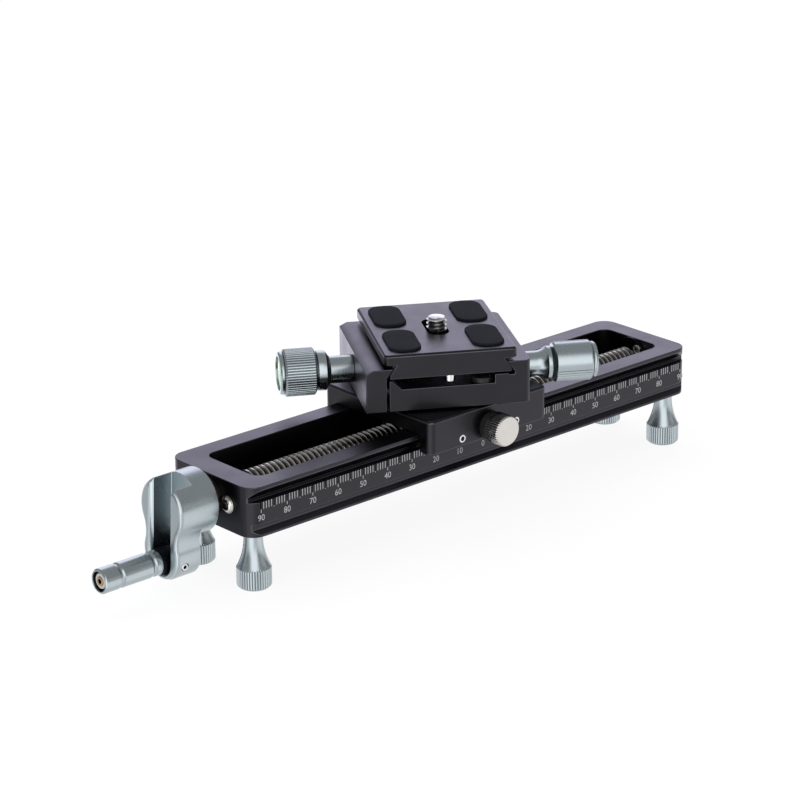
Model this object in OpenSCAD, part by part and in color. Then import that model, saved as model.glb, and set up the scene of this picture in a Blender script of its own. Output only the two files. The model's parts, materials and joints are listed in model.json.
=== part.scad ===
// Macro focusing rail. A crank turns a lead screw, which drives a carriage along a
// long windowed rail. On the carriage sits a panning quick-release clamp with a
// sliding camera plate.
// Frame: +X runs along the rail away from the crank, +Y to the back, +Z up.
// Origin: the mouth of the tripod socket, in the middle of the rail's underside.
// Lengths are in millimetres and angles in degrees.

/* [Rail] */
// Length of the rail
rail_len = 188; // [176:1:230]
// Width of the rail, which is also the width of its dovetail
rail_w = 39; // [38:0.5:42]
// Height of the rail
rail_h = 16; // [16:0.1:18]
// Radius of the rail's outer corners
rail_corner_r = 5; // [3.5:0.25:6]
// Thickness of each side wall beside the window
side_wall = 6.95; // [6:0.05:7.5]
// Thickness of the end wall at the crank
crank_end_wall = 8.5; // [7.5:0.25:10]
// Thickness of the end wall away from the crank
far_end_wall = 7; // [6.5:0.25:8.5]
// Thickness of the floor under the window
floor_t = 4; // [3.5:0.1:4.2]
// Radius of the window's corners
window_corner_r = 3.5; // [2:0.25:5]
// Height of the lip above the upper groove
top_lip_h = 1.2; // [1:0.1:1.6]
// Height of the upper groove
upper_groove_h = 3.65; // [3.4:0.05:3.9]
// Depth of the upper groove
upper_groove_depth = 2.4; // [1.9:0.1:2.6]
// Height of the band that carries the scale
scale_band_h = 7.15; // [6.9:0.05:7.4]
// Height of the lower groove
lower_groove_h = 3.3; // [2.6:0.1:3.4]
// Depth of the lower groove
lower_groove_depth = 1.5; // [1:0.1:2]

/* [Sockets] */
// Diameter of the middle tripod socket (3/8 inch thread)
tripod_socket_d = 9.6; // [9.4:0.1:9.8]
// Outer diameter of the steel insert round the middle socket
tripod_insert_d = 13; // [12:0.25:14]
// Diameter of the two side sockets (1/4 inch thread)
side_socket_d = 6.4; // [6.2:0.1:6.6]
// Distance of the side sockets from the middle
side_socket_x = 30; // [20:1:45]

/* [Feet] */
// Height of a foot under the rail
foot_h = 17.8; // [14:0.2:24]
// Height of the knurled part of a foot
foot_knurl_h = 6.6; // [4:0.1:8]
// Diameter of a foot's knurled part
foot_d = 10.7; // [9:0.1:12]
// Diameter of a foot's neck
foot_neck_d = 5.8; // [5:0.1:7]
// Length of the straight part of a foot's neck
foot_neck_h = 1.6; // [0.5:0.1:3]
// Distance from a foot's axis to the rail's end
foot_inset_x = 5.5; // [5:0.1:6]
// Distance from a foot's axis to the rail's side
foot_inset_y = 6; // [5.5:0.1:6.2]
// Diameter of a foot's stud
foot_stud_d = 4; // [3:0.25:4.5]
// Length of a foot's stud
foot_stud_len = 5; // [3:0.25:6]
// Number of flutes round a foot
foot_flutes = 40; // [24:1:48]

/* [Lead screw] */
// Outer diameter of the lead screw
screw_d = 8; // [7:0.1:8.2]
// Height of the lead screw's axis above the underside
screw_z = 9; // [8.8:0.05:9.1]
// Diameter of the shaft at the crank
crank_journal_d = 6; // [5:0.1:6.4]
// Diameter of the journal at the far end
far_journal_d = 4; // [3.5:0.1:4.2]
// Length of the far bearing
far_bearing_len = 5; // [3:0.1:5.5]
// Outer diameter of the far bearing
far_bearing_d = 8; // [7.4:0.1:8.4]
// Outer diameter of the crank bearing
crank_bearing_d = 10; // [9:0.1:10.5]
// Diameter of the crank bearing's flange
crank_bearing_flange_d = 12.2; // [11:0.1:12.4]
// Thickness of the crank bearing's flange
crank_bearing_flange_t = 1.5; // [1:0.1:2]
// Diameter of the thrust collar inside the window
thrust_collar_d = 10; // [9:0.1:11]
// Thickness of the thrust collar
thrust_collar_t = 1; // [0.8:0.1:1.2]
// Diameter of the cover over the far bearing
far_cover_d = 13.8; // [13:0.1:13.8]
// Thickness of the cover over the far bearing
far_cover_t = 0.6; // [0.5:0.1:0.8]

/* [Crank] */
// Turn of the crank at rest, with its lower end towards the back
crank_turn = 3.6; // [0:0.1:10]
// Gap between the rail and the crank's hub, which the spacer fills
hub_gap = 4.2; // [3.8:0.1:5]
// Length of the round hub behind the arm
hub_len = 5.4; // [5:0.1:7]
// Radius of the hub
hub_r = 10; // [9.5:0.1:11]
// Thickness of the arm along the rail's direction
arm_t = 9; // [8.9:0.05:10]
// Thickness of the arm's web behind the slot
arm_web_t = 1.4; // [1:0.1:1.6]
// Radius of the arm's lower lobe
lobe_r = 8.4; // [8.2:0.1:9]
// Distance from the hub's axis to the lobe's centre
lobe_drop = 14; // [13.5:0.1:14.5]
// Radius of the hollow at each side of the arm's waist
waist_r = 10.6; // [9:0.1:12]
// Size of the front edge that is taken off the arm
arm_edge = 1.5; // [0.8:0.1:2]
// Width of the slot that the handle folds into
slot_w = 8.4; // [8.3:0.05:8.6]
// Chamfer along the slot's front edges
slot_chamfer = 1; // [0.4:0.1:1.2]
// Diameter of the crank's clamping screw
grub_d = 3.2; // [3:0.1:3.6]

/* [Handle] */
// Distance from the crank's axis to the handle's pivot
pivot_drop = 16.4; // [16:0.1:16.8]
// Diameter of the handle's pivot pin
pivot_d = 2.6; // [2:0.1:3]
// Diameter of the handle's sleeve
handle_d = 7.8; // [7.4:0.1:7.8]
// Length of the handle's sleeve
sleeve_len = 21.3; // [16:0.1:24]
// Distance from the pivot to the sleeve
sleeve_start = 4.5; // [4.2:0.1:6]
// Diameter of the spindle inside the sleeve
spindle_d = 4; // [3.6:0.1:4.4]
// Width of each groove round the sleeve
sleeve_groove_w = 1.7; // [1:0.1:2]
// Depth of each groove round the sleeve
sleeve_groove_depth = 0.3; // [0.2:0.05:0.5]
// Distance from the sleeve's inner end to its first groove
inner_groove_at = 2.3; // [1.5:0.1:4]
// Distance from the sleeve's outer end to its second groove
outer_groove_at = 5.4; // [3:0.1:6]
// Diameter of the recess in the sleeve's outer end
end_recess_d = 5.9; // [5.5:0.1:6.2]
// Depth of the recess in the sleeve's outer end
end_recess_depth = 1.6; // [1.2:0.1:2]
// Diameter of the white bush in the recess
handle_bush_d = 5.2; // [4.8:0.1:5.3]
// Diameter of the head of the handle's end screw
grip_screw_head_d = 3; // [2.6:0.1:3.4]

/* [Carriage] */
// Place of the carriage along the rail at rest
carriage_x = -2.2; // [-40:0.1:40]
// Length and width of the carriage
carriage_w = 50; // [49.6:0.2:56]
// Thickness of the carriage above the rail
carriage_t = 5.45; // [5.2:0.05:7]
// Depth to which the cheeks hang beside the rail
cheek_drop = 5.4; // [5.2:0.05:6]
// Radius of the carriage's corners
carriage_corner_r = 2.4; // [1.5:0.1:4]
// Chamfer round the carriage's top
carriage_chamfer = 0.7; // [0.3:0.1:1]
// Length of the drive nut
nut_len = 31; // [24:0.5:31]
// Width of the drive nut
nut_w = 16; // [14:0.5:20]
// Diameter of the drive nut's screws
nut_screw_d = 3; // [2.5:0.1:3]
// Spacing of the drive nut's screws along the rail
nut_screw_dx = 22; // [16:0.5:22]
// Spacing of the drive nut's screws across the rail
nut_screw_dy = 12; // [11.6:0.1:12.4]
// Length of the gib strip
gib_len = 46; // [40:0.5:46]
// Diameter of the gib's setting screws
gib_screw_d = 2.6; // [2.2:0.1:3]
// Distance of the gib's setting screws from the carriage's middle
gib_screw_x = 11.5; // [9:0.5:16]

/* [Carriage lock] */
// Diameter of the carriage lock's knob
lock_knob_d = 9.95; // [9:0.05:11]
// Length of the carriage lock's knob
lock_knob_len = 5.75; // [4:0.05:8]
// Gap between the cheek and the carriage lock's knob, which the washer fills
lock_gap = 2.35; // [1.5:0.05:3]
// Height of the lock's axis above the rail's underside
lock_z = 14.45; // [14.2:0.05:14.8]
// Diameter of the lock's stud
lock_stud_d = 4; // [3.4:0.1:4.2]
// Diameter of the lock's dark washer
lock_washer_d = 9.2; // [8:0.1:9.6]
// Number of flutes round the lock's knob
lock_flutes = 40; // [24:1:44]

/* [Panning base] */
// Turn of the clamp on its panning base at rest
pan_angle = -31.1; // [-60:0.1:60]
// Diameter of the panning base's disc
pan_disc_d = 44; // [38:0.5:47]
// Thickness of the panning base's disc
pan_disc_t = 0.5; // [0.4:0.05:0.8]
// Diameter of the panning base's spindle
spindle_hub_d = 18; // [17:0.1:18]
// Height of the panning base's spindle above the disc
spindle_hub_h = 5.6; // [5.4:0.05:5.8]
// Depth of the groove round the spindle
pan_groove_depth = 1.2; // [0.8:0.1:1.4]
// Diameter of the bolt that holds the panning base
pan_bolt_d = 5; // [4:0.1:5]
// Diameter of that bolt's head
pan_bolt_head_d = 9; // [8:0.1:9.4]
// Height of that bolt's head
pan_bolt_head_h = 3.6; // [3:0.1:3.7]

/* [Clamp] */
// Depth of the clamp from front to back
clamp_depth = 48; // [44:0.5:52]
// Height of the clamp
clamp_h = 13.85; // [13.6:0.05:15]
// Distance from the dovetail's right edge to the clamp's right face
fixed_jaw_t = 6.3; // [5.5:0.1:9]
// Distance from the dovetail's left edge to the left face of the clamp's body
body_over = 0.2; // [0:0.05:0.4]
// Height of the seat above the clamp's underside
seat_h = 9.95; // [9.8:0.05:10.2]
// Height of the channel's floor above the clamp's underside
channel_floor_h = 7.15; // [7:0.05:7.4]
// Width of the seat at the channel's right side
right_seat_w = 5.1; // [4:0.1:7]
// Distance from the body's left face to the foot of the channel's left slope
left_seat_w = 4; // [3.6:0.1:6]
// Width of the channel's left slope
channel_slope_w = 3; // [2:0.1:3.4]
// Radius of the upright edges on the clamp's right side
clamp_corner_r = 2; // [1:0.1:3]
// Thickness of the movable jaw
jaw_t = 6.5; // [6:0.1:8]
// Gap between the movable jaw and the clamp's body
jaw_gap = 0.8; // [0.6:0.05:0.9]
// Width of the chamfer along the movable jaw's top
jaw_chamfer_w = 2.3; // [1:0.1:3]
// Height of the chamfer along the movable jaw's top
jaw_chamfer_h = 1.2; // [0.6:0.1:2]
// Diameter of the jaw's guide pins
guide_pin_d = 4; // [3:0.1:4.4]
// Distance of the guide pins from the clamp's middle
guide_pin_y = 16; // [14:0.1:18]
// Diameter of the springs round the guide pins
return_spring_d = 6; // [5.4:0.1:6.4]
// Diameter of the stop button in the channel
stop_button_d = 6.4; // [5:0.1:7]
// Height of the stop button in the channel
stop_button_h = 1.6; // [1:0.1:2.4]

/* [Jaw knob] */
// Height of the jaw knob's axis above the clamp's underside
jaw_axis_h = 6.65; // [6.4:0.05:6.9]
// Diameter of the jaw screw
jaw_screw_d = 5; // [4:0.1:5]
// Wall between the jaw screw's bore and the panning spindle
jaw_screw_wall = 2; // [1.5:0.1:4]
// Diameter of the jaw knob's neck
jaw_neck_d = 8.7; // [7:0.1:10]
// Length of the jaw knob's neck
jaw_neck_len = 8.9; // [6:0.1:12]
// Diameter of the jaw knob's collar
jaw_collar_d = 12.7; // [11:0.1:14]
// Length of the jaw knob's collar
jaw_collar_len = 2.8; // [2:0.1:4]
// Diameter of the jaw knob's knurl
jaw_knurl_d = 15; // [13:0.1:15]
// Length of the jaw knob's knurl
jaw_knurl_len = 10.4; // [8:0.1:14]
// Diameter of the ring round the level
bezel_d = 13.6; // [12:0.1:14]
// Length by which the level's ring stands out
bezel_len = 1.5; // [1:0.1:2]
// Diameter of the level
level_d = 10.8; // [9:0.1:11.4]
// Number of flutes round the jaw knob
jaw_flutes = 52; // [30:1:56]

/* [Pan lock] */
// Height of the pan lock's axis above the clamp's underside
pan_axis_h = 3.85; // [3.7:0.05:4]
// Diameter of the pan lock's screw
pan_screw_d = 4.6; // [4:0.1:4.6]
// Diameter of the pan knob's neck
pan_neck_d = 8; // [7:0.1:8.2]
// Length of the straight part of the pan knob's neck
pan_neck_len = 6.9; // [5:0.1:8]
// Length of the pan knob's flare
pan_flare_len = 3.3; // [2.5:0.1:4]
// Diameter of the pan knob's flange
pan_flange_d = 10.6; // [9:0.1:11]
// Thickness of the pan knob's flange
pan_flange_t = 1.9; // [1.2:0.1:2.4]
// Diameter of the dark ring on the pan knob
pan_ring_d = 9.8; // [9:0.1:10.4]
// Thickness of the dark ring on the pan knob
pan_ring_t = 0.7; // [0.5:0.1:1]
// Diameter of the pan knob's grip
pan_grip_d = 12.9; // [11:0.1:13]
// Length of the pan knob's grip
pan_grip_len = 12; // [9:0.1:14]
// Diameter of the pan knob's end cap
pan_cap_d = 11.6; // [10:0.1:12]
// Length of the pan knob's end cap
pan_cap_len = 1.7; // [1:0.1:2.2]
// Number of ribs in each ribbed part of the pan knob's grip
pan_ribs = 9; // [5:1:11]

/* [Camera plate] */
// Depth of the plate from front to back
plate_depth = 48.8; // [44:0.2:56]
// Width by which the plate's top stands out over its dovetail at each side
plate_overhang = 1.8; // [1.3:0.1:3]
// Thickness of the plate's top
plate_flange_t = 3.3; // [2.8:0.1:4]
// Height of the plate under its top
plate_base_h = 4.4; // [4.2:0.1:4.6]
// Width of the plate's dovetail at the foot
dovetail_w = 38; // [36:0.1:44]
// Width by which the plate's dovetail narrows at each side up to its neck
dovetail_undercut = 2.2; // [2.1:0.05:2.3]
// Height of the upright land at the dovetail's foot
dovetail_land_h = 1.3; // [1.2:0.05:1.5]
// Height of the plate's underside above the seat
plate_lift = 0.8; // [0.6:0.05:1]
// Radius of the plate's corners
plate_corner_r = 1.4; // [1:0.1:3]
// Chamfer round the plate's top
plate_chamfer = 0.6; // [0.3:0.05:0.9]
// Width of each rubber pad
pad_w = 10.2; // [8:0.1:11]
// Depth of each rubber pad
pad_depth = 19.5; // [16:0.1:20]
// Height of each rubber pad
pad_h = 0.9; // [0.5:0.05:1.4]
// Radius of the pads' corners
pad_corner_r = 4.5; // [2:0.1:4.8]
// Distance of the pads from the plate's edges
pad_inset = 2.6; // [1.5:0.1:3.5]
// Diameter of the plate's stop screws
stop_screw_d = 3.2; // [2.5:0.1:4]
// Length by which the stop screws stand out under the plate
stop_screw_out = 2.4; // [1.5:0.1:2.6]
// Distance of the stop screws from the plate's ends
stop_screw_inset = 2.4; // [2.2:0.1:4]

/* [Camera screw] */
// Diameter of the camera screw (1/4 inch thread)
camera_screw_d = 6.35; // [6.3:0.05:6.4]
// Height of the camera screw above the plate
camera_screw_out = 4; // [3:0.1:6]
// Place of the camera screw along the slot at rest
camera_screw_y = -2; // [-4:0.1:4]
// Diameter of the camera screw's neck, below its thread
camera_neck_d = 4.8; // [4:0.1:5.4]
// Diameter of the camera screw's head
camera_head_d = 11.6; // [10:0.1:11.8]
// Height of the camera screw's head
camera_head_h = 2.6; // [2:0.1:2.8]
// Width of the slot in the plate
plate_slot_w = 6.8; // [6.7:0.05:7.2]
// Length of the slot in the plate
plate_slot_len = 15.9; // [14:0.1:18]
// Diameter of the camera screw's washer
screw_washer_d = 11.6; // [10:0.1:12]
// Thickness of the camera screw's washer
screw_washer_t = 0.5; // [0.4:0.05:0.8]

/* [Clearances] */
// Radial clearance of a turning shaft
run_gap = 0.05; // [0.03:0.01:0.08]
// Gap between flat faces that slide on each other
slide_gap = 0.05; // [0.03:0.01:0.08]
// Gap between the carriage's cheeks and the rail's sides
cheek_gap = 0.25; // [0.2:0.01:0.3]
// Gap at the ends of pins and screws and round pieces that don't touch
loose_gap = 0.2; // [0.15:0.01:0.25]

/* [Hidden] */
$fn = 64;

// One overrun for every cut.
over = 1;

// Details that several pieces share
hex_share = 0.55;
edge_break = 0.2;
screw_sink = 0.1;
knurl_lip = 0.15;
flute_depth = 0.28;
flute_share = 0.42;
flute_fn = 24;
// A rounded edge is cut in two slopes, which meet this share of its size inside
edge_share = 1 - cos(45);

// Rail
rail_half = rail_len / 2;
window_w = rail_w - 2 * side_wall;
window_x0 = crank_end_wall - rail_half;
window_x1 = rail_half - far_end_wall;
lower_lip_h = rail_h - top_lip_h - upper_groove_h - scale_band_h - lower_groove_h;
band_z0 = lower_lip_h + lower_groove_h;
band_z1 = band_z0 + scale_band_h;
groove_top_z = band_z1 + upper_groove_h;
cover_screw_d = 1.6;
cover_screw_len = 4;
cover_screw_head_d = 3.2;
cover_screw_head_h = 0.9;
cover_screw_ring_r = 5.2;
cover_screw_turn = 45;
end_screw_d = 3;
end_screw_len = 6;
end_screw_head_d = 5.4;
end_screw_head_h = 1.3;
end_screw_y = 9;
end_screw_drop = 0.4;
end_screw_socket_share = 0.45;
end_screw_rim_share = 0.35;
end_screw_foot_share = 0.86;
end_screw_top_share = 0.6;
cover_bore_gap = 0.5;

// Feet
foot_chamfer = 0.8;
foot_flare_h = foot_h - foot_knurl_h - foot_neck_h;

// Lead screw, from the crank's end to the far end
hub_x1 = -rail_half - hub_gap;
hub_x0 = hub_x1 - hub_len;
slot_end_x = hub_x0 - arm_web_t;
shaft_x0 = hub_x0 - arm_web_t / 2;
collar_x0 = window_x0 + slide_gap;
collar_x1 = collar_x0 + thrust_collar_t;
cover_x0 = window_x1 - far_cover_t;
thread_x1 = cover_x0 - cover_screw_head_h - loose_gap;
far_journal_x1 = window_x1 + far_bearing_len - loose_gap;
screw_chamfer = 0.5;

// Crank: the waist's circle runs a trace into the hub and the lobe
waist_bite = 0.06;
hub_reach = hub_r + waist_r - waist_bite;
lobe_reach = lobe_r + waist_r - waist_bite;
waist_z = -(pow(hub_reach, 2) - pow(lobe_reach, 2) + pow(lobe_drop, 2)) / (2 * lobe_drop);
waist_y = sqrt(pow(hub_reach, 2) - pow(waist_z, 2));
hub_touch = [waist_y, waist_z] * hub_r / hub_reach;
lobe_touch = [waist_y, waist_z + lobe_drop] * lobe_r / lobe_reach - [0, lobe_drop];
bevel_y = 5.6;
bevel_z = 8;
bevel_foot_z = 5;
grub_x_share = 0.5;
grub_out_share = 0.94;
grub_out = hub_r * grub_out_share;

// Handle
slot_gap = (slot_w - handle_d) / 2;
pivot_x = slot_end_x - handle_d / 2 - slot_gap;
pivot_half = sqrt(pow(lobe_r, 2) - pow(pivot_drop - lobe_drop, 2)) - screw_sink;
shank_end = sleeve_start - slide_gap;
sleeve_end = sleeve_start + sleeve_len;
spindle_end = sleeve_end - end_recess_depth;
handle_bush_t = 1.3;
grip_screw_stem_d = 1.8;
grip_screw_stem_len = 6;
grip_screw_sink = 0.3;
sleeve_edge = 0.4;

// Carriage
carriage_half = carriage_w / 2;
carriage_z0 = rail_h - cheek_drop;
carriage_z1 = rail_h + slide_gap;
carriage_top = carriage_z1 + carriage_t;
tunnel_half = rail_w / 2 + cheek_gap;
nose_gap = 0.1;
nose_y = rail_w / 2 - upper_groove_depth + loose_gap;
nose_z0 = band_z1 + nose_gap;
nose_z1 = groove_top_z - upper_groove_depth - nose_gap;
nose_top_z = nose_z1 + tunnel_half - nose_y;
gib_back_share = 0.315;
gib_back_y = tunnel_half + gib_back_share * (carriage_half - tunnel_half);
gib_top_z = carriage_z1 - loose_gap;
gib_screw_share = 0.45;
gib_z = band_z1 + upper_groove_h * gib_screw_share;
nut_floor_gap = 0.6;
nut_z0 = floor_t + nut_floor_gap;
nut_screw_depth = 4.4;
nut_head_d = 5.5;
nut_head_h = 3;

// Carriage lock
lock_sink_share = 0.6;
lock_stud_in = carriage_half - gib_back_y - slide_gap;

// Panning base and clamp heights
pan_z1 = carriage_top + pan_disc_t;
clamp_z0 = pan_z1 + slide_gap;
clamp_z1 = clamp_z0 + clamp_h;
seat_z = clamp_z0 + seat_h;
channel_z = clamp_z0 + channel_floor_h;
spindle_z1 = pan_z1 + spindle_hub_h;
pan_axis_z = clamp_z0 + pan_axis_h;
jaw_axis_z = clamp_z0 + jaw_axis_h;
spindle_bore_top = spindle_z1 + loose_gap;
pan_bolt_sink = 0.4;
pan_bolt_skin = 0.5;
bolt_seat_z = spindle_z1 - pan_bolt_head_h - pan_bolt_sink;
bolt_tip_z = carriage_z1 + pan_bolt_skin;

// Clamp
clamp_right = dovetail_w / 2 + fixed_jaw_t;
clamp_left = dovetail_w / 2 + body_over;
channel_right = dovetail_w / 2 - right_seat_w;
channel_left = clamp_left - left_seat_w;
dovetail_neck_w = dovetail_w - 2 * dovetail_undercut;
plate_z0 = seat_z + plate_lift;
plate_neck_z = plate_z0 + plate_base_h;
plate_top = plate_neck_z + plate_flange_t;
dovetail_slope = dovetail_undercut / (plate_base_h - dovetail_land_h);
jaw_play = 0.1;
jaw_lip = dovetail_neck_w / 2 + (plate_neck_z - clamp_z1) * dovetail_slope + jaw_play;
undercut_share = 0.375;
undercut_z = seat_z + undercut_share * plate_lift;
undercut_u = jaw_lip + (clamp_z1 - undercut_z) * dovetail_slope;
undercut_floor = seat_z - plate_lift / 2;
jaw_in = clamp_left + jaw_gap;
jaw_out = jaw_in + jaw_t;
jaw_in_z = clamp_z1 - (jaw_in - jaw_lip) / dovetail_slope;
jaw_screw_grip = clamp_left - spindle_hub_d / 2 - jaw_screw_wall;
boss_w = 10;
boss_end_u = 2.5;
boss_z = seat_z - loose_gap;
guide_pin_share = 0.42;
guide_pin_z = clamp_z0 + seat_h * guide_pin_share;
guide_pin_grip = 12;
guide_pin_out = 4.5;
spring_pocket = 8;
stop_button_side = 3.5;
stop_button_u = channel_right - stop_button_side;
stop_button_inset = 3.4;
shoe_len = 3;
shoe_u = spindle_hub_d / 2 + loose_gap;
pan_screw_in = clamp_right - shoe_u - shoe_len - slide_gap;

// Jaw knob, measured outwards from the jaw's face
jaw_collar_at = jaw_neck_len;
jaw_knurl_at = jaw_collar_at + jaw_collar_len;
jaw_bezel_at = jaw_knurl_at + jaw_knurl_len;
jaw_end_at = jaw_bezel_at + bezel_len;
jaw_flare = 1.2;
knurl_chamfer = 0.6;
bezel_chamfer = 0.5;
level_pocket = 3;
level_sink = 0.2;
bubble_d = 3.6;
bubble_t = 0.3;
bubble_rise = 1.8;

// Pan knob, measured outwards from the clamp's right face
pan_flare_at = pan_neck_len;
pan_flange_at = pan_flare_at + pan_flare_len;
pan_ring_at = pan_flange_at + pan_flange_t;
pan_grip_at = pan_ring_at + pan_ring_t;
pan_cap_at = pan_grip_at + pan_grip_len;
pan_rib_angle = 9;
pan_rib_turn = -41;
pan_edge = 0.5;

// Plate
plate_w = dovetail_w + 2 * plate_overhang;
pad_x = (plate_w - pad_w) / 2 - pad_inset;
pad_y = (plate_depth - pad_depth) / 2 - pad_inset;
stop_screw_y = plate_depth / 2 - stop_screw_inset;
plate_recess_w = 12.4;
plate_recess_h = 3.6;
pad_edge_share = 0.33;
screw_tip_share = 0.1;
coin_slot_w = 1.5;

// Shapes shared by several pieces

module rounded_rect(l, w, r) {
  square([l - 2 * r, w], center = true);
  square([l, w - 2 * r], center = true);
  for (x = [-1, 1], y = [-1, 1]) translate([x * (l / 2 - r), y * (w / 2 - r)]) circle(r);
}

// A block with round corners and a chamfer of c round its top.
module chamfered_block(l, w, h, r, c) {
  module section(b) polygon([
    [-b / 2, 0], [b / 2, 0], [b / 2, h - c], [b / 2 - c, h], [c - b / 2, h], [-b / 2, h - c]
  ]);
  along_x(l - 2 * r) section(w);
  along_y(w - 2 * r) section(l);
  for (x = [-1, 1], y = [-1, 1]) translate([x * (l / 2 - r), y * (w / 2 - r), 0]) {
    cylinder(r = r, h = h - c);
    translate([0, 0, h - c]) cylinder(r1 = r, r2 = r - c, h = c);
  }
}

// A section drawn in Y and Z, run along X over the length given.
module along_x(len) rotate([90, 0, 90]) linear_extrude(len, center = true) children();

// A section drawn in X and Z, run along Y over the length given.
module along_y(len) rotate([90, 0, 0]) linear_extrude(len, center = true) children();

module ring(d_out, d_in, h) difference() {
  cylinder(d = d_out, h = h);
  translate([0, 0, -over]) cylinder(d = d_in, h = h + 2 * over);
}

// A round bar from one diameter to another, hollowed like a trumpet.
module flare(d0, d1, h) {
  rise = (d1 - d0) / 2;
  hollow = (pow(h, 2) + pow(rise, 2)) / (2 * rise);
  rotate_extrude() difference() {
    square([d1 / 2, h]);
    translate([d0 / 2 + hollow, 0]) circle(hollow);
  }
}

// A disc with a chamfer at each end.
module chamfered_disc(d, h, c0, c1) rotate_extrude() polygon([
  [0, 0], [d / 2 - c0, 0], [d / 2, c0], [d / 2, h - c1], [d / 2 - c1, h], [0, h]
]);

// Round flutes cut into a disc of diameter d, from one turn to another.
module flutes(d, h, depth, count, step, start) {
  flute_r = PI * d * step / 360 * flute_share;
  for (i = [0 : count - 1]) rotate(start + i * step)
    translate([d / 2 + flute_r - depth, 0, -over])
    cylinder(r = flute_r, h = h + 2 * over, $fn = flute_fn);
}

module hex_socket(d, depth) translate([0, 0, -depth]) cylinder(d = d, h = depth + over, $fn = 6);

// A socket-head screw. Its head's underside is at zero, and the shank goes down.
module cap_screw(head_d, head_h, d, len) difference() {
  union() {
    cylinder(d = head_d, h = head_h);
    translate([0, 0, -len]) cylinder(d = d, h = len);
  }
  translate([0, 0, head_h]) hex_socket(head_d * hex_share, head_h * hex_share);
}

// Places

module at_screw(x) translate([x, 0, screw_z]) rotate([0, 90, 0]) children();
module crank_frame() translate([0, 0, screw_z]) rotate([crank_turn, 0, 0]) children();
// From the handle's pivot outwards along the handle
module handle_frame() crank_frame() translate([pivot_x, 0, -pivot_drop]) rotate([0, -90, 0])
  children();
module carriage_frame() translate([carriage_x, 0, 0]) children();
// From the front cheek's face outwards
module lock_frame() carriage_frame() translate([0, -carriage_half, lock_z]) rotate([90, 0, 0])
  children();
module clamp_frame() carriage_frame() rotate(pan_angle) children();
// From the jaw's face outwards, and from the clamp's right face outwards
module jaw_knob_frame() clamp_frame() translate([-jaw_out, 0, jaw_axis_z]) rotate([0, -90, 0])
  children();
module pan_knob_frame() clamp_frame() translate([clamp_right, 0, pan_axis_z]) rotate([0, 90, 0])
  children();
module foot_places() for (x = [-1, 1], y = [-1, 1])
  translate([x * (rail_half - foot_inset_x), y * (rail_w / 2 - foot_inset_y), 0]) children();
module nut_screw_places() carriage_frame() for (x = [-1, 1], y = [-1, 1])
  translate([x * nut_screw_dx / 2, y * nut_screw_dy / 2, carriage_top - nut_head_h - screw_sink])
  children();
module gib_screw_places() carriage_frame() for (x = [-1, 1])
  translate([x * gib_screw_x, -carriage_half, gib_z]) rotate([90, 0, 0]) children();
module end_screw_places() for (y = [-1, 1])
  translate([-rail_half, y * end_screw_y, screw_z - end_screw_drop]) rotate([0, -90, 0])
  children();
module cover_screw_places() at_screw(cover_x0) for (turn = [0, 180])
  rotate(cover_screw_turn + turn) translate([cover_screw_ring_r, 0, 0]) rotate([180, 0, 0])
  children();
module guide_pin_places() clamp_frame() for (y = [-1, 1])
  translate([-clamp_left, y * guide_pin_y, guide_pin_z]) rotate([0, -90, 0]) children();
module stop_screw_places() clamp_frame() for (y = [-1, 1])
  translate([0, y * stop_screw_y, plate_z0]) children();

// Rail

module rail_section() {
  half = rail_w / 2;
  upper = half - upper_groove_depth;
  lower = half - lower_groove_depth;
  side = [
    [half, 0], [half, lower_lip_h], [lower, lower_lip_h + lower_groove_depth], [lower, band_z0],
    [half, band_z0], [half, band_z1], [upper, band_z1],
    [upper, groove_top_z - upper_groove_depth], [half, groove_top_z], [half, rail_h]
  ];
  mirrored = [for (i = [len(side) - 1 : -1 : 0]) [-side[i][0], side[i][1]]];
  polygon(concat(side, mirrored));
}

module rail_frame() color("dimgray") difference() {
  intersection() {
    linear_extrude(rail_h) rounded_rect(rail_len, rail_w, rail_corner_r);
    along_x(rail_len) rail_section();
  }
  translate([(window_x0 + window_x1) / 2, 0, floor_t]) linear_extrude(rail_h)
    rounded_rect(window_x1 - window_x0, window_w, window_corner_r);
  at_screw(-rail_half - over) cylinder(d = crank_bearing_d, h = crank_end_wall + 2 * over);
  at_screw(window_x1 - over) cylinder(d = far_bearing_d, h = far_bearing_len + over);
  // the floor is hollowed for the cover and its screws
  at_screw(thread_x1) cylinder(d = far_cover_d + 2 * loose_gap, h = window_x1 - thread_x1);
  cover_screw_places() translate([0, 0, -cover_screw_len - far_cover_t])
    cylinder(d = cover_screw_d, h = cover_screw_len + far_cover_t + over);
  end_screw_places() translate([0, 0, -end_screw_len])
    cylinder(d = end_screw_d, h = end_screw_len + over);
  foot_places() translate([0, 0, -over]) cylinder(d = foot_stud_d, h = foot_stud_len + over);
  translate([0, 0, -over]) cylinder(d = tripod_insert_d, h = floor_t + 2 * over);
  for (x = [-side_socket_x, side_socket_x]) translate([x, 0, -over])
    cylinder(d = side_socket_d, h = floor_t + 2 * over);
}

module tripod_insert() color("silver") ring(tripod_insert_d, tripod_socket_d, floor_t);

module crank_bearing() color("goldenrod") at_screw(-rail_half - crank_bearing_flange_t)
  difference() {
    union() {
      cylinder(d = crank_bearing_flange_d, h = crank_bearing_flange_t);
      cylinder(d = crank_bearing_d, h = crank_bearing_flange_t + crank_end_wall);
    }
    translate([0, 0, -over]) cylinder(
      d = crank_journal_d + 2 * run_gap, h = crank_bearing_flange_t + crank_end_wall + 2 * over);
  }

module far_bearing() color("goldenrod") at_screw(window_x1)
  ring(far_bearing_d, far_journal_d + 2 * run_gap, far_bearing_len);

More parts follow.
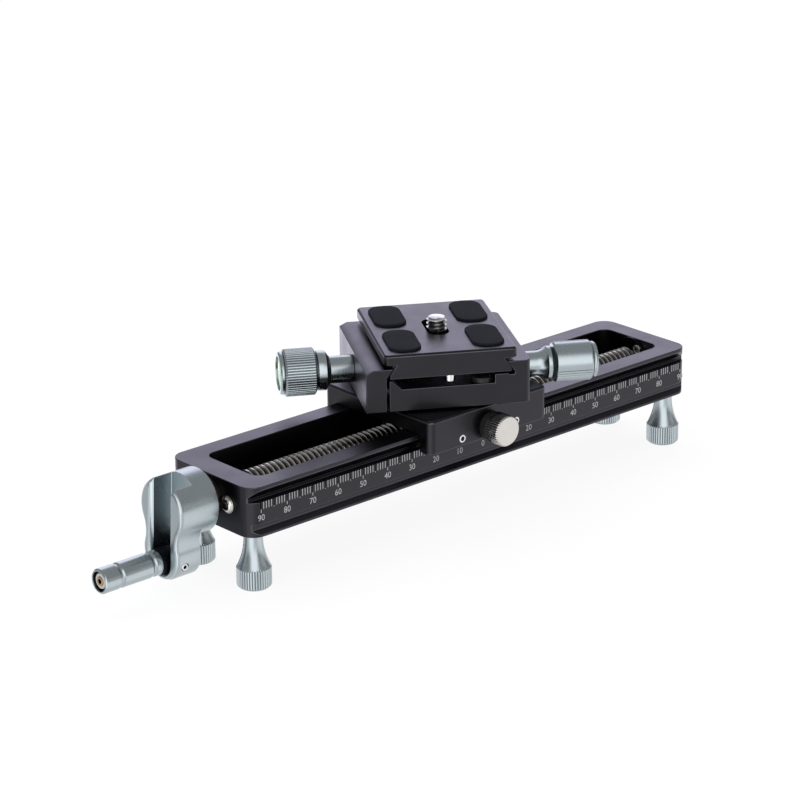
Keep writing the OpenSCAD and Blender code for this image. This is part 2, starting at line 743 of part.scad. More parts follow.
module far_bearing_cover() color("dimgray") difference() {
  at_screw(cover_x0) ring(far_cover_d, far_journal_d + 2 * cover_bore_gap, far_cover_t);
  cover_screw_places() translate([0, 0, -far_cover_t - over])
    cylinder(d = cover_screw_d, h = far_cover_t + 2 * over);
}

module cover_screws() color("silver") cover_screw_places()
  cap_screw(cover_screw_head_d, cover_screw_head_h, cover_screw_d, cover_screw_len + far_cover_t);

module end_screws() color("silver") end_screw_places() difference() {
  rim = end_screw_head_h * end_screw_rim_share;
  union() {
    cylinder(d = end_screw_head_d, h = rim);
    translate([0, 0, rim]) cylinder(
      d1 = end_screw_head_d * end_screw_foot_share, d2 = end_screw_head_d * end_screw_top_share,
      h = end_screw_head_h - rim);
    translate([0, 0, -end_screw_len]) cylinder(d = end_screw_d, h = end_screw_len);
  }
  translate([0, 0, end_screw_head_h])
    hex_socket(end_screw_head_d * end_screw_socket_share, end_screw_head_h);
}

module feet() color("lightsteelblue") foot_places() {
  cylinder(d = foot_stud_d, h = foot_stud_len - loose_gap);
  rotate([180, 0, 0]) {
    cylinder(d = foot_neck_d, h = foot_neck_h);
    translate([0, 0, foot_neck_h]) flare(foot_neck_d, foot_d - 2 * knurl_lip, foot_flare_h);
    translate([0, 0, foot_neck_h + foot_flare_h]) difference() {
      chamfered_disc(foot_d, foot_knurl_h, knurl_lip, foot_chamfer);
      flutes(foot_d, foot_knurl_h, flute_depth, foot_flutes, 360 / foot_flutes, 0);
    }
  }
}

// Lead screw and crank

module lead_screw() color("silver") {
  at_screw(shaft_x0) cylinder(d = crank_journal_d, h = collar_x0 - shaft_x0);
  at_screw(collar_x0) cylinder(d = thrust_collar_d, h = thrust_collar_t);
  at_screw(collar_x1) chamfered_disc(screw_d, thread_x1 - collar_x1, 0, screw_chamfer);
  at_screw(thread_x1) cylinder(d = far_journal_d, h = far_journal_x1 - thread_x1);
}

module crank_spacer() color("dimgray")
  at_screw(hub_x1) ring(
    crank_bearing_flange_d, crank_journal_d, hub_gap - crank_bearing_flange_t - slide_gap);

// A disc whose front edge is taken off in two slopes of size e.
module edged_disc(radius, h, e) rotate_extrude() polygon([
  [0, 0], [radius, 0], [radius, h - e], [radius - e * edge_share, h - e * edge_share],
  [radius - e, h], [0, h]
]);

// What the waist's hollow takes away, flared like the arm's front edge.
module waist_cut(h, e) rotate_extrude() polygon([
  [0, -over], [waist_r, -over], [waist_r, h - e], [waist_r + e * edge_share, h - e * edge_share],
  [waist_r + e + over * (1 - edge_share) / edge_share, h + over], [0, h + over]
]);

// The slot's outline in Y and Z, from the handle's place up past the hub.
module slot_outline(extra) {
  translate([0, -pivot_drop]) circle(slot_w / 2 + extra);
  translate([-slot_w / 2 - extra, -pivot_drop])
    square([slot_w + 2 * extra, pivot_drop + hub_r + over]);
}

module slot_cut() {
  rotate([90, 0, -90]) mirror([1, 0, 0]) linear_extrude(arm_t - arm_web_t + over) slot_outline(0);
  // chamfers at the front: two sloping sides and a cone round the handle's place
  depth = arm_t - arm_web_t;
  along_z(pivot_drop + hub_r + over) polygon([
    [-depth + slot_chamfer + over, over - slot_w / 2],
    [-depth + slot_chamfer + over, slot_w / 2 - over],
    [-depth - over, slot_w / 2 + slot_chamfer + over],
    [-depth - over, -slot_w / 2 - slot_chamfer - over]
  ]);
  translate([-depth - over, 0, -pivot_drop]) rotate([0, 90, 0]) cylinder(
    r1 = slot_w / 2 + slot_chamfer + over, r2 = slot_w / 2 - over, h = slot_chamfer + 2 * over);
}

module along_z(len) translate([0, 0, -pivot_drop]) linear_extrude(len) children();

// The waist between hub and lobe, hollowed at both sides.
module arm_waist() difference() {
  linear_extrude(arm_t) polygon([
    [0, 0], [hub_touch[1], hub_touch[0]], [lobe_touch[1], lobe_touch[0]],
    [-lobe_drop, 0], [lobe_touch[1], -lobe_touch[0]], [hub_touch[1], -hub_touch[0]]
  ]);
  for (y = [-waist_y, waist_y]) translate([waist_z, y, 0]) waist_cut(arm_t, arm_edge);
}

module crank_arm() color("lightsteelblue") crank_frame() difference() {
  union() {
    translate([hub_x0, 0, 0]) rotate([0, 90, 0]) cylinder(r = hub_r, h = hub_len);
    translate([hub_x0, 0, 0]) rotate([0, -90, 0]) {
      edged_disc(hub_r, arm_t, arm_edge);
      translate([-lobe_drop, 0, 0]) edged_disc(lobe_r, arm_t, arm_edge);
      arm_waist();
    }
  }
  translate([slot_end_x, 0, 0]) slot_cut();
  // the near cheek's top is bevelled towards the slot
  translate([slot_end_x, 0, 0]) rotate([90, 0, -90]) mirror([1, 0, 0])
    linear_extrude(arm_t + over) polygon([
      [-slot_w / 2 + slide_gap, bevel_foot_z], [-bevel_y, bevel_z], [-bevel_y, hub_r + over],
      [-slot_w / 2 + slide_gap, hub_r + over]
    ]);
  translate([hub_x1 + over, 0, 0]) rotate([0, -90, 0])
    cylinder(d = crank_journal_d, h = hub_x1 - shaft_x0 + over);
  translate([hub_x1 - hub_len * grub_x_share, crank_journal_d / 2 - over, 0]) rotate([-90, 0, 0])
    cylinder(d = grub_d, h = hub_r + over);
  translate([pivot_x, 0, -pivot_drop]) rotate([90, 0, 0])
    cylinder(d = pivot_d, h = 2 * (lobe_r + over), center = true);
}

module crank_grub_screw() color("silver") crank_frame()
  translate([hub_x1 - hub_len * grub_x_share, 0, 0]) rotate([-90, 0, 0]) difference() {
    translate([0, 0, crank_journal_d / 2]) cylinder(d = grub_d, h = grub_out - crank_journal_d / 2);
    translate([0, 0, grub_out]) hex_socket(grub_d * hex_share, grub_d * hex_share);
    at_shaft_skin();
  }

// The shaft's own round, so that the screw's tip follows it.
module at_shaft_skin() rotate([0, 90, 0]) cylinder(d = crank_journal_d, h = 2 * grub_d, center = true);

module handle_pivot_pin() color("silver") crank_frame() translate([pivot_x, 0, -pivot_drop])
  rotate([90, 0, 0]) difference() {
    cylinder(d = pivot_d, h = 2 * pivot_half, center = true);
    translate([0, 0, pivot_half]) hex_socket(pivot_d * hex_share, pivot_d * hex_share);
  }

// Handle

module handle_shank() color("black") handle_frame() difference() {
  union() {
    sphere(d = handle_d);
    cylinder(d = handle_d, h = shank_end);
    cylinder(d = spindle_d, h = spindle_end);
  }
  rotate([90, 0, 0]) cylinder(d = pivot_d + 2 * run_gap, h = slot_w, center = true);
  translate([0, 0, spindle_end - grip_screw_stem_len])
    cylinder(d = grip_screw_stem_d, h = grip_screw_stem_len + over);
}

module handle_bush() color("white") handle_frame() translate([0, 0, spindle_end]) difference() {
  chamfered_disc(handle_bush_d, handle_bush_t, 0, edge_break);
  translate([0, 0, -over]) cylinder(d = grip_screw_stem_d, h = handle_bush_t + 2 * over);
  translate([0, 0, handle_bush_t / 2]) cylinder(d = grip_screw_head_d, h = handle_bush_t + over);
}

module handle_end_screw() color("peru") handle_frame() translate([0, 0, spindle_end]) difference() {
  union() {
    translate([0, 0, -grip_screw_stem_len])
      cylinder(d = grip_screw_stem_d, h = grip_screw_stem_len + handle_bush_t / 2);
    translate([0, 0, handle_bush_t / 2])
      cylinder(d = grip_screw_head_d, h = end_recess_depth - grip_screw_sink - handle_bush_t / 2);
  }
  translate([0, 0, end_recess_depth - grip_screw_sink])
    hex_socket(grip_screw_head_d * hex_share, handle_bush_t / 2);
}

module handle_sleeve() color("lightsteelblue") handle_frame() difference() {
  translate([0, 0, sleeve_start]) chamfered_disc(handle_d, sleeve_len, sleeve_edge, sleeve_edge);
  translate([0, 0, sleeve_start - over])
    cylinder(d = spindle_d + 2 * run_gap, h = sleeve_len + 2 * over);
  translate([0, 0, spindle_end]) cylinder(d = end_recess_d, h = end_recess_depth + over);
  for (z = [sleeve_start + inner_groove_at, sleeve_end - outer_groove_at - sleeve_groove_w])
    translate([0, 0, z])
      ring(handle_d + 2 * over, handle_d - 2 * sleeve_groove_depth, sleeve_groove_w);
}

// Carriage

// The nose that runs in the rail's upper groove, on the back side.
module nose_section(back_y, top_z) polygon([
  [nose_y, nose_z0], [back_y, nose_z0], [back_y, top_z], [tunnel_half, top_z],
  [tunnel_half, nose_top_z], [nose_y, nose_z1]
]);

module carriage_block() color("dimgray") difference() {
  union() {
    carriage_frame() difference() {
      translate([0, 0, carriage_z0]) chamfered_block(
        carriage_w, carriage_w, carriage_top - carriage_z0, carriage_corner_r, carriage_chamfer);
      translate([0, 0, carriage_z1 / 2])
        cube([carriage_w + 2 * over, 2 * tunnel_half, carriage_z1], center = true);
      // pocket for the gib
      along_x(gib_len + 2 * loose_gap) polygon([
        [-gib_back_y, band_z1], [0, band_z1], [0, carriage_z1], [-gib_back_y, carriage_z1]
      ]);
    }
    carriage_frame() along_x(carriage_w - 2 * carriage_corner_r)
      nose_section(tunnel_half + over, nose_top_z);
  }
  nut_screw_places() {
    cylinder(d = nut_head_d, h = nut_head_h + over);
    translate([0, 0, -carriage_t]) cylinder(d = nut_screw_d, h = carriage_t + over);
  }
  gib_screw_places() translate([0, 0, -carriage_half + tunnel_half])
    cylinder(d = gib_screw_d, h = carriage_half - tunnel_half + over);
  lock_frame() translate([0, 0, gib_back_y - carriage_half])
    cylinder(d = lock_stud_d + 2 * run_gap, h = carriage_half - gib_back_y + over);
  carriage_frame() translate([0, 0, bolt_tip_z]) cylinder(d = pan_bolt_d, h = carriage_t);
}

module drive_nut() color("goldenrod") difference() {
  carriage_frame() translate([-nut_len / 2, -nut_w / 2, nut_z0])
    cube([nut_len, nut_w, carriage_z1 - nut_z0]);
  at_screw(carriage_x - nut_len / 2 - over)
    cylinder(d = screw_d + 2 * run_gap, h = nut_len + 2 * over);
  nut_screw_places() translate([0, 0, -carriage_t - nut_screw_depth])
    cylinder(d = nut_screw_d, h = carriage_t + nut_screw_depth);
}

module nut_screws() color("silver") nut_screw_places() cap_screw(
  nut_head_d, nut_head_h, nut_screw_d, nut_screw_depth + carriage_t - nut_head_h);

module gib_strip() color("darkgoldenrod") carriage_frame() mirror([0, 1, 0])
  along_x(gib_len) nose_section(gib_back_y, gib_top_z);

module gib_screws() color("silver") gib_screw_places() difference() {
  translate([0, 0, gib_back_y - carriage_half])
    cylinder(d = gib_screw_d, h = carriage_half - gib_back_y - screw_sink);
  translate([0, 0, -screw_sink]) hex_socket(gib_screw_d * hex_share, gib_screw_d * hex_share);
}

module pan_base() color("dimgray") carriage_frame() difference() {
  union() {
    translate([0, 0, carriage_top]) cylinder(d = pan_disc_d, h = pan_disc_t);
    translate([0, 0, carriage_top]) cylinder(d = spindle_hub_d, h = spindle_z1 - carriage_top);
  }
  // the groove that the lock's shoe enters
  translate([0, 0, pan_axis_z - pan_screw_d / 2]) rotate_extrude() polygon([
    [spindle_hub_d / 2 + over, -over], [spindle_hub_d / 2 - pan_groove_depth, pan_groove_depth],
    [spindle_hub_d / 2 - pan_groove_depth, pan_screw_d - pan_groove_depth],
    [spindle_hub_d / 2 + over, pan_screw_d + over]
  ]);
  translate([0, 0, bolt_seat_z]) cylinder(d = pan_bolt_head_d + 2 * loose_gap, h = spindle_hub_h);
  translate([0, 0, carriage_z1]) cylinder(d = pan_bolt_d, h = spindle_z1 - carriage_z1);
}

module pan_bolt() color("silver") carriage_frame() translate([0, 0, bolt_seat_z]) cap_screw(
  pan_bolt_head_d, pan_bolt_head_h, pan_bolt_d, bolt_seat_z - bolt_tip_z);

// Carriage lock

module lock_knob() color("silver") lock_frame() translate([0, 0, lock_gap]) difference() {
  chamfered_disc(lock_knob_d, lock_knob_len, knurl_lip, knurl_lip);
  flutes(lock_knob_d, lock_knob_len, flute_depth, lock_flutes, 360 / lock_flutes, 0);
  translate([0, 0, -over]) cylinder(d = lock_stud_d, h = lock_knob_len * lock_sink_share + over);
}

module lock_stud() color("silver") lock_frame() translate([0, 0, -lock_stud_in]) cylinder(
  d = lock_stud_d, h = lock_stud_in + lock_gap + lock_knob_len * lock_sink_share);

module lock_washer() color("black") lock_frame() translate([0, 0, slide_gap])
  ring(lock_washer_d, lock_stud_d, lock_gap - slide_gap);

// Clamp

// The clamp's body from the left face to the fixed jaw, drawn across.
module clamp_section() polygon([
  [-clamp_left, clamp_z0], [clamp_right, clamp_z0], [clamp_right, clamp_z1],
  [jaw_lip, clamp_z1], [undercut_u, undercut_z], [undercut_u - plate_lift / 2, undercut_floor],
  [dovetail_w / 2 - plate_lift / 2, undercut_floor], [dovetail_w / 2 - plate_lift, seat_z],
  [channel_right, seat_z], [channel_right, channel_z], [-channel_left, channel_z],
  [-channel_left - channel_slope_w, seat_z], [-clamp_left, seat_z]
]);

// The body's plan: its right-hand edges are round.
module clamp_plan() {
  translate([(clamp_right + clamp_left) / 2 - clamp_left, 0]) rounded_rect(
    clamp_right + clamp_left, clamp_depth, clamp_corner_r);
  translate([-clamp_left, -clamp_depth / 2]) square([clamp_left, clamp_depth]);
}

module clamp_body() color("dimgray") difference() {
  clamp_frame() {
    intersection() {
      along_y(clamp_depth) clamp_section();
      translate([0, 0, clamp_z0]) linear_extrude(clamp_h) clamp_plan();
    }
    // the boss round the jaw's screw
    translate([-channel_left - channel_slope_w, -boss_w / 2, channel_z - over])
      cube([channel_left + channel_slope_w + boss_end_u, boss_w, boss_z - channel_z + over]);
  }
  clamp_frame() translate([0, 0, clamp_z0 - over])
    cylinder(d = spindle_hub_d + 2 * run_gap, h = spindle_bore_top - clamp_z0 + over);
  clamp_frame() translate([spindle_hub_d / 2 - over, 0, pan_axis_z]) rotate([0, 90, 0])
    cylinder(d = pan_screw_d + 2 * run_gap, h = clamp_right);
  clamp_frame() translate([-clamp_left - over, 0, jaw_axis_z]) rotate([0, 90, 0])
    cylinder(d = jaw_screw_d + 2 * run_gap, h = jaw_screw_grip + over + loose_gap);
  guide_pin_places() {
    translate([0, 0, -guide_pin_grip]) cylinder(d = guide_pin_d, h = guide_pin_grip + over);
    translate([0, 0, -spring_pocket])
      cylinder(d = return_spring_d + loose_gap, h = spring_pocket + over);
  }
  stop_button_place() translate([0, 0, -over]) cylinder(d = stop_button_d, h = seat_h);
}

module stop_button_place() clamp_frame()
  translate([stop_button_u, stop_button_inset - clamp_depth / 2, channel_z]) children();

module guide_pins() color("silver") guide_pin_places() translate([0, 0, -guide_pin_grip])
  cylinder(d = guide_pin_d, h = guide_pin_grip + jaw_gap + guide_pin_out);

module return_springs() color("gray") guide_pin_places() translate([0, 0, -spring_pocket])
  ring(return_spring_d, guide_pin_d, spring_pocket + jaw_gap - slide_gap);

module stop_button() color("black") stop_button_place() translate([0, 0, -over])
  chamfered_disc(stop_button_d, stop_button_h + over, 0, edge_break);

module pan_shoe() color("goldenrod") clamp_frame()
  translate([shoe_u, 0, pan_axis_z]) rotate([0, 90, 0])
  cylinder(d = pan_screw_d, h = shoe_len);

// The movable jaw, drawn across.
module jaw_section() polygon([
  [-jaw_out, clamp_z0], [-jaw_in, clamp_z0], [-jaw_in, jaw_in_z], [-jaw_lip, clamp_z1],
  [-jaw_out + jaw_chamfer_w, clamp_z1], [-jaw_out, clamp_z1 - jaw_chamfer_h]
]);

module movable_jaw() color("dimgray") difference() {
  clamp_frame() along_y(clamp_depth) jaw_section();
  clamp_frame() translate([-jaw_out - over, 0, jaw_axis_z]) rotate([0, 90, 0])
    cylinder(d = jaw_screw_d + 2 * run_gap, h = jaw_t + 2 * over);
  guide_pin_places() translate([0, 0, jaw_gap - over])
    cylinder(d = guide_pin_d + 2 * run_gap, h = guide_pin_out + over + loose_gap);
}

// Jaw knob with its level

module jaw_knob() color("lightsteelblue") jaw_knob_frame() difference() {
  union() {
    translate([0, 0, slide_gap]) cylinder(d = jaw_neck_d, h = jaw_neck_len);
    translate([0, 0, jaw_collar_at - jaw_flare])
      cylinder(d1 = jaw_neck_d, d2 = jaw_collar_d, h = jaw_flare);
    translate([0, 0, jaw_collar_at]) cylinder(d = jaw_collar_d, h = jaw_collar_len);
    translate([0, 0, jaw_knurl_at]) difference() {
      chamfered_disc(jaw_knurl_d, jaw_knurl_len, knurl_chamfer, knurl_chamfer);
      flutes(jaw_knurl_d, jaw_knurl_len, flute_depth, jaw_flutes, 360 / jaw_flutes, 0);
    }
  }
  translate([0, 0, -over]) cylinder(d = jaw_screw_d, h = jaw_neck_len + over);
  translate([0, 0, jaw_bezel_at - level_pocket])
    cylinder(d = level_d, h = level_pocket + over);
}

module jaw_screw() color("silver") jaw_knob_frame()
  translate([0, 0, -jaw_t - jaw_gap - jaw_screw_grip])
  cylinder(d = jaw_screw_d, h = jaw_t + jaw_gap + jaw_screw_grip + jaw_neck_len);

module level_bezel() color("lightsteelblue") jaw_knob_frame() translate([0, 0, jaw_bezel_at])
  difference() {
    chamfered_disc(bezel_d, bezel_len, 0, bezel_chamfer);
    translate([0, 0, -over]) cylinder(d = level_d, h = bezel_len + 2 * over);
  }

module level_vial() color("yellowgreen") difference() {
  jaw_knob_frame() translate([0, 0, jaw_bezel_at - level_pocket])
    cylinder(d = level_d, h = level_pocket + bezel_len - level_sink);
  bubble();
}

// The bubble has risen to the upper side of the level.
module bubble() jaw_knob_frame() translate([bubble_rise, 0, jaw_end_at - level_sink - 2 * bubble_t])
  cylinder(d = bubble_d, h = bubble_t);

module level_bubble() color("honeydew") bubble();

// Pan lock

module pan_knob() color("lightsteelblue") pan_knob_frame() difference() {
  union() {
    translate([0, 0, slide_gap]) cylinder(d = pan_neck_d, h = pan_neck_len);
    translate([0, 0, pan_flare_at]) flare(pan_neck_d, pan_flange_d - pan_edge, pan_flare_len);
    translate([0, 0, pan_flange_at])
      chamfered_disc(pan_flange_d, pan_flange_t, pan_edge / 2, pan_edge);
    translate([0, 0, pan_ring_at]) cylinder(d = pan_ring_d - 2 * pan_edge, h = pan_ring_t);
    translate([0, 0, pan_grip_at]) difference() {
      chamfered_disc(pan_grip_d, pan_grip_len, pan_edge, pan_edge);
      for (side = [0, 180]) flutes(
        pan_grip_d, pan_grip_len, flute_depth, pan_ribs, pan_rib_angle,
        side + pan_rib_turn - (pan_ribs - 1) * pan_rib_angle / 2);
    }
    translate([0, 0, pan_cap_at]) rotate_extrude() {
      square([pan_cap_d / 2, pan_cap_len / 2]);
      square([(pan_cap_d - pan_cap_len) / 2, pan_cap_len]);
      translate([(pan_cap_d - pan_cap_len) / 2, pan_cap_len / 2]) circle(d = pan_cap_len);
    }
  }
  translate([0, 0, -over]) cylinder(d = pan_screw_d, h = pan_grip_at + over);
}

module pan_screw() color("silver") pan_knob_frame()
  translate([0, 0, -pan_screw_in]) cylinder(d = pan_screw_d, h = pan_screw_in + pan_grip_at);

module pan_knob_ring() color("black") pan_knob_frame() translate([0, 0, pan_ring_at])
  ring(pan_ring_d, pan_ring_d - 2 * pan_edge, pan_ring_t);

// Camera plate

module plate_section() polygon([
  [-dovetail_w / 2, plate_z0], [dovetail_w / 2, plate_z0],
  [dovetail_w / 2, plate_z0 + dovetail_land_h], [dovetail_neck_w / 2, plate_neck_z],
  [-dovetail_neck_w / 2, plate_neck_z], [-dovetail_w / 2, plate_z0 + dovetail_land_h]
]);

module slot_plan(w, len) {
  square([w, len - w], center = true);
  for (y = [-1, 1]) translate([0, y * (len - w) / 2]) circle(d = w);
}

module camera_plate() color("dimgray") difference() {
  clamp_frame() {
    along_y(plate_depth) plate_section();
    translate([0, 0, plate_neck_z]) chamfered_block(
      plate_w, plate_depth, plate_flange_t, plate_corner_r, plate_chamfer);
  }
  clamp_frame() translate([0, 0, plate_z0 - over])
    linear_extrude(plate_top - plate_z0 + 2 * over) slot_plan(plate_slot_w, plate_slot_len);
  clamp_frame() translate([0, 0, plate_z0 - over]) linear_extrude(plate_recess_h + over)
    slot_plan(plate_recess_w, plate_slot_len - plate_slot_w + plate_recess_w);
  stop_screw_places() translate([0, 0, -over])
    cylinder(d = stop_screw_d, h = stop_screw_out + over);
}

module rubber_pads() color("black") clamp_frame()
  for (x = [-1, 1], y = [-1, 1]) translate([x * pad_x, y * pad_y, plate_top])
    chamfered_block(pad_w, pad_depth, pad_h, pad_corner_r, pad_h * pad_edge_share);

module stop_screws() color("silver") stop_screw_places() difference() {
  translate([0, 0, -stop_screw_out]) cylinder(d = stop_screw_d, h = 2 * stop_screw_out);
  translate([0, 0, -stop_screw_out]) rotate([180, 0, 0])
    hex_socket(stop_screw_d * hex_share, stop_screw_out / 2);
}

module screw_washer() color("gray") clamp_frame()
  translate([0, camera_screw_y, plate_z0 + plate_recess_h - screw_washer_t - slide_gap])
  ring(screw_washer_d, camera_neck_d + 2 * run_gap, screw_washer_t);

module camera_screw() color("silver") clamp_frame() translate([0, camera_screw_y, 0]) {
  head_top = plate_z0 + plate_recess_h - screw_washer_t - 2 * slide_gap;
  thread_z = plate_top + slide_gap;
  difference() {
    union() {
      translate([0, 0, head_top - camera_head_h]) cylinder(d = camera_head_d, h = camera_head_h);
      translate([0, 0, head_top]) cylinder(d = camera_neck_d, h = thread_z - head_top);
      translate([0, 0, thread_z]) chamfered_disc(
        camera_screw_d, camera_screw_out - slide_gap, 0, camera_screw_d * screw_tip_share);
    }
    // a coin slot across the head
    translate([0, 0, head_top - camera_head_h])
      cube([camera_head_d + over, coin_slot_w, camera_head_h], center = true);
  }
}

rail_frame();
tripod_insert();
crank_bearing();
far_bearing();
far_bearing_cover();
cover_screws();
end_screws();
feet();
lead_screw();
crank_spacer();
crank_arm();
crank_grub_screw();
handle_pivot_pin();
handle_shank();
handle_bush();
handle_end_screw();
handle_sleeve();
carriage_block();
drive_nut();
nut_screws();
gib_strip();
gib_screws();
pan_base();
pan_bolt();
lock_knob();
lock_stud();
lock_washer();
clamp_body();
guide_pins();
return_springs();
stop_button();
pan_shoe();
movable_jaw();
jaw_knob();
jaw_screw();
level_bezel();
level_vial();
level_bubble();
pan_knob();
pan_screw();
pan_knob_ring();
camera_plate();
rubber_pads();
stop_screws();
screw_washer();
camera_screw();
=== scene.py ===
"""The looks of a macro focusing rail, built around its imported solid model."""

import json
from math import acos, atan2, cos, hypot, pi, radians, sin, sqrt

import bmesh
import bpy
from bpy.props import FloatProperty, FloatVectorProperty, IntProperty, PointerProperty
from mathutils import Matrix, Vector


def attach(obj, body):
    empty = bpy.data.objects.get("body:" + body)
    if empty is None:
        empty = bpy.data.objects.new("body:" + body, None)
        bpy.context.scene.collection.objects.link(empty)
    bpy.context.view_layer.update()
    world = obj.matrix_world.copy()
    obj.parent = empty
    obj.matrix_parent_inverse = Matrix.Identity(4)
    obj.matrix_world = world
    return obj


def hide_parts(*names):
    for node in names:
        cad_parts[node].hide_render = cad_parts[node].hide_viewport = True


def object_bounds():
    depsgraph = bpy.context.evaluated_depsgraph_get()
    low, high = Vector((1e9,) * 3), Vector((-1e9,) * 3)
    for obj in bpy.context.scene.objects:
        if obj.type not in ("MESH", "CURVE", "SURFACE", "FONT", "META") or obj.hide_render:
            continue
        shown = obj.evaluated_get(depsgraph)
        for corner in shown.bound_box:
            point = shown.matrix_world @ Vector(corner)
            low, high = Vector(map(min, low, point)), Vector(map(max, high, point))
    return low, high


bl_info = {
    "name": "Macro focusing rail",
    "version": (1, 0, 0),
    "blender": (4, 5, 0),
    "location": "3D View > Sidebar > Macro rail",
    "description": "Builds the finished surfaces of a macro focusing rail on its solid model",
    "category": "Object",
}

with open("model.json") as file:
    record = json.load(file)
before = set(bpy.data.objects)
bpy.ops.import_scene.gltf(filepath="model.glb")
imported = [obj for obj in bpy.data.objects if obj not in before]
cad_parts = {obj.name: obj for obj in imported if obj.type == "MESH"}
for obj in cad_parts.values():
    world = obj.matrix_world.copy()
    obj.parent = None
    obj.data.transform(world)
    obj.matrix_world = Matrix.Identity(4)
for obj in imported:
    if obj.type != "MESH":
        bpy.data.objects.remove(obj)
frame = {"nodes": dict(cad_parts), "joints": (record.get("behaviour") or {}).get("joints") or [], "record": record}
cad_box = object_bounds()

MM = 0.001
JOINTS = {joint["name"]: joint for joint in frame["joints"]}
BODY_OF = {
    node: body
    for body, nodes in frame["record"]["behaviour"]["bodies"].items()
    for node in nodes
}
TINT = dict(subtype="COLOR", size=3, min=0.0)


# Sizes and colours that a user would change


class RailSizes(bpy.types.PropertyGroup):
    """Sizes of the rail's scale and broken edges."""

    edge: FloatProperty(
        name="Broken edge", description="Width of the small bevel along every machined edge",
        default=0.22 * MM, min=0.02 * MM, unit="LENGTH",
    )
    scale_reach: IntProperty(
        name="Scale reach",
        description="Last number of the scale on either side of zero, in millimetres",
        default=90, min=10, max=90,
    )
    tick: FloatProperty(
        name="Tick length", description="Length of the scale's ten-millimetre lines",
        default=3.28 * MM, min=0.5 * MM, unit="LENGTH",
    )
    tick_width: FloatProperty(
        name="Tick width", description="Width of the scale's lines",
        default=0.24 * MM, min=0.05 * MM, unit="LENGTH",
    )
    figure: FloatProperty(
        name="Figure height", description="Height of the scale's numbers",
        default=1.9 * MM, min=0.5 * MM, unit="LENGTH",
    )


class KnobSizes(bpy.types.PropertyGroup):
    """Sizes of the knurls and ribs."""

    flute: FloatProperty(
        name="Flute depth", description="Depth of the flutes of the knurled knobs and feet",
        default=0.38 * MM, min=0.0, unit="LENGTH",
    )
    flute_share: FloatProperty(
        name="Flute share", description="Half width of a flute as a share of the knurl's pitch",
        default=0.26, min=0.1, max=0.5, subtype="FACTOR",
    )
    foot_flutes: IntProperty(
        name="Foot flutes", description="Flutes round each foot", default=40, min=8
    )
    lock_flutes: IntProperty(
        name="Lock flutes", description="Flutes round the carriage's lock", default=40, min=8
    )
    jaw_flutes: IntProperty(
        name="Jaw flutes", description="Flutes round the jaw's knob", default=52, min=8
    )


class ThreadSizes(bpy.types.PropertyGroup):
    """Pitches of the threads in view."""

    lead: FloatProperty(
        name="Lead screw pitch", description="Travel of the carriage for one turn of the crank",
        default=2.0 * MM, min=0.5 * MM, unit="LENGTH",
    )
    camera: FloatProperty(
        name="Camera screw pitch",
        description="Pitch of the 1/4 inch thread, twenty turns to the inch",
        default=1.27 * MM, min=0.5 * MM, unit="LENGTH",
    )
    tripod: FloatProperty(
        name="Tripod socket pitch",
        description="Pitch of the 3/8 inch thread, sixteen turns to the inch",
        default=1.5875 * MM, min=0.5 * MM, unit="LENGTH",
    )


class Finishes(bpy.types.PropertyGroup):
    """Colours of the finishes."""

    black: FloatVectorProperty(
        name="Black anodising",
        description="Colour of the rail, the carriage, the clamp and the plate",
        default=(0.02, 0.0195, 0.0238), max=1.0, **TINT,
    )
    blue_grey: FloatVectorProperty(
        name="Blue-grey anodising",
        description="Colour of the crank, the handle, the knobs and the feet",
        default=(0.405, 0.458, 0.482), max=1.0, **TINT,
    )
    paint: FloatVectorProperty(
        name="Scale paint", description="Colour of the scale's lines and numbers",
        default=(0.8, 0.8, 0.8), max=1.0, **TINT,
    )
    level: FloatVectorProperty(
        name="Level liquid", description="Colour of the liquid in the round level",
        default=(0.4, 0.75, 0.28), max=1.0, **TINT,
    )


class StudioSizes(bpy.types.PropertyGroup):
    """The floor, the lamps and the camera."""

    floor: FloatProperty(
        name="Floor width", description="Width of the pale floor",
        default=8.0, min=1.0, unit="LENGTH",
    )
    world: FloatProperty(
        name="Room light", description="Strength of the even light from all round",
        default=0.5, min=0.0,
    )
    dim: FloatProperty(
        name="Dim sky",
        description="Brightness of the parts of the room that carry no light, in reflections",
        default=0.42, min=0.0,
    )
    paper: FloatProperty(
        name="Paper", description="Brightness of the floor in reflections",
        default=0.95, min=0.0,
    )
    near: FloatVectorProperty(
        name="Near light",
        description="Colour and brightness of the light from the camera's side",
        default=(1.8, 1.8, 1.8), soft_max=4.0, **TINT,
    )
    behind: FloatVectorProperty(
        name="Light behind",
        description="Colour and brightness of the cool light from behind",
        default=(1.6, 1.56, 1.82), soft_max=4.0, **TINT,
    )
    top_lamp: FloatProperty(
        name="Top lamp", description="Power of the large soft lamp above and behind",
        default=4.0, min=0.0, unit="POWER",
    )
    side_lamp: FloatProperty(
        name="Side lamp", description="Power of the soft lamp at the front left",
        default=1.5, min=0.0, unit="POWER",
    )
    lens: FloatProperty(
        name="Lens", description="Focal length of the camera on a 36 mm wide sensor",
        default=136.4, min=20.0, unit="CAMERA",
    )


GROUPS = {
    "rail_sizes": RailSizes,
    "rail_knobs": KnobSizes,
    "rail_threads": ThreadSizes,
    "rail_finishes": Finishes,
    "rail_studio": StudioSizes,
}


# Node graphs


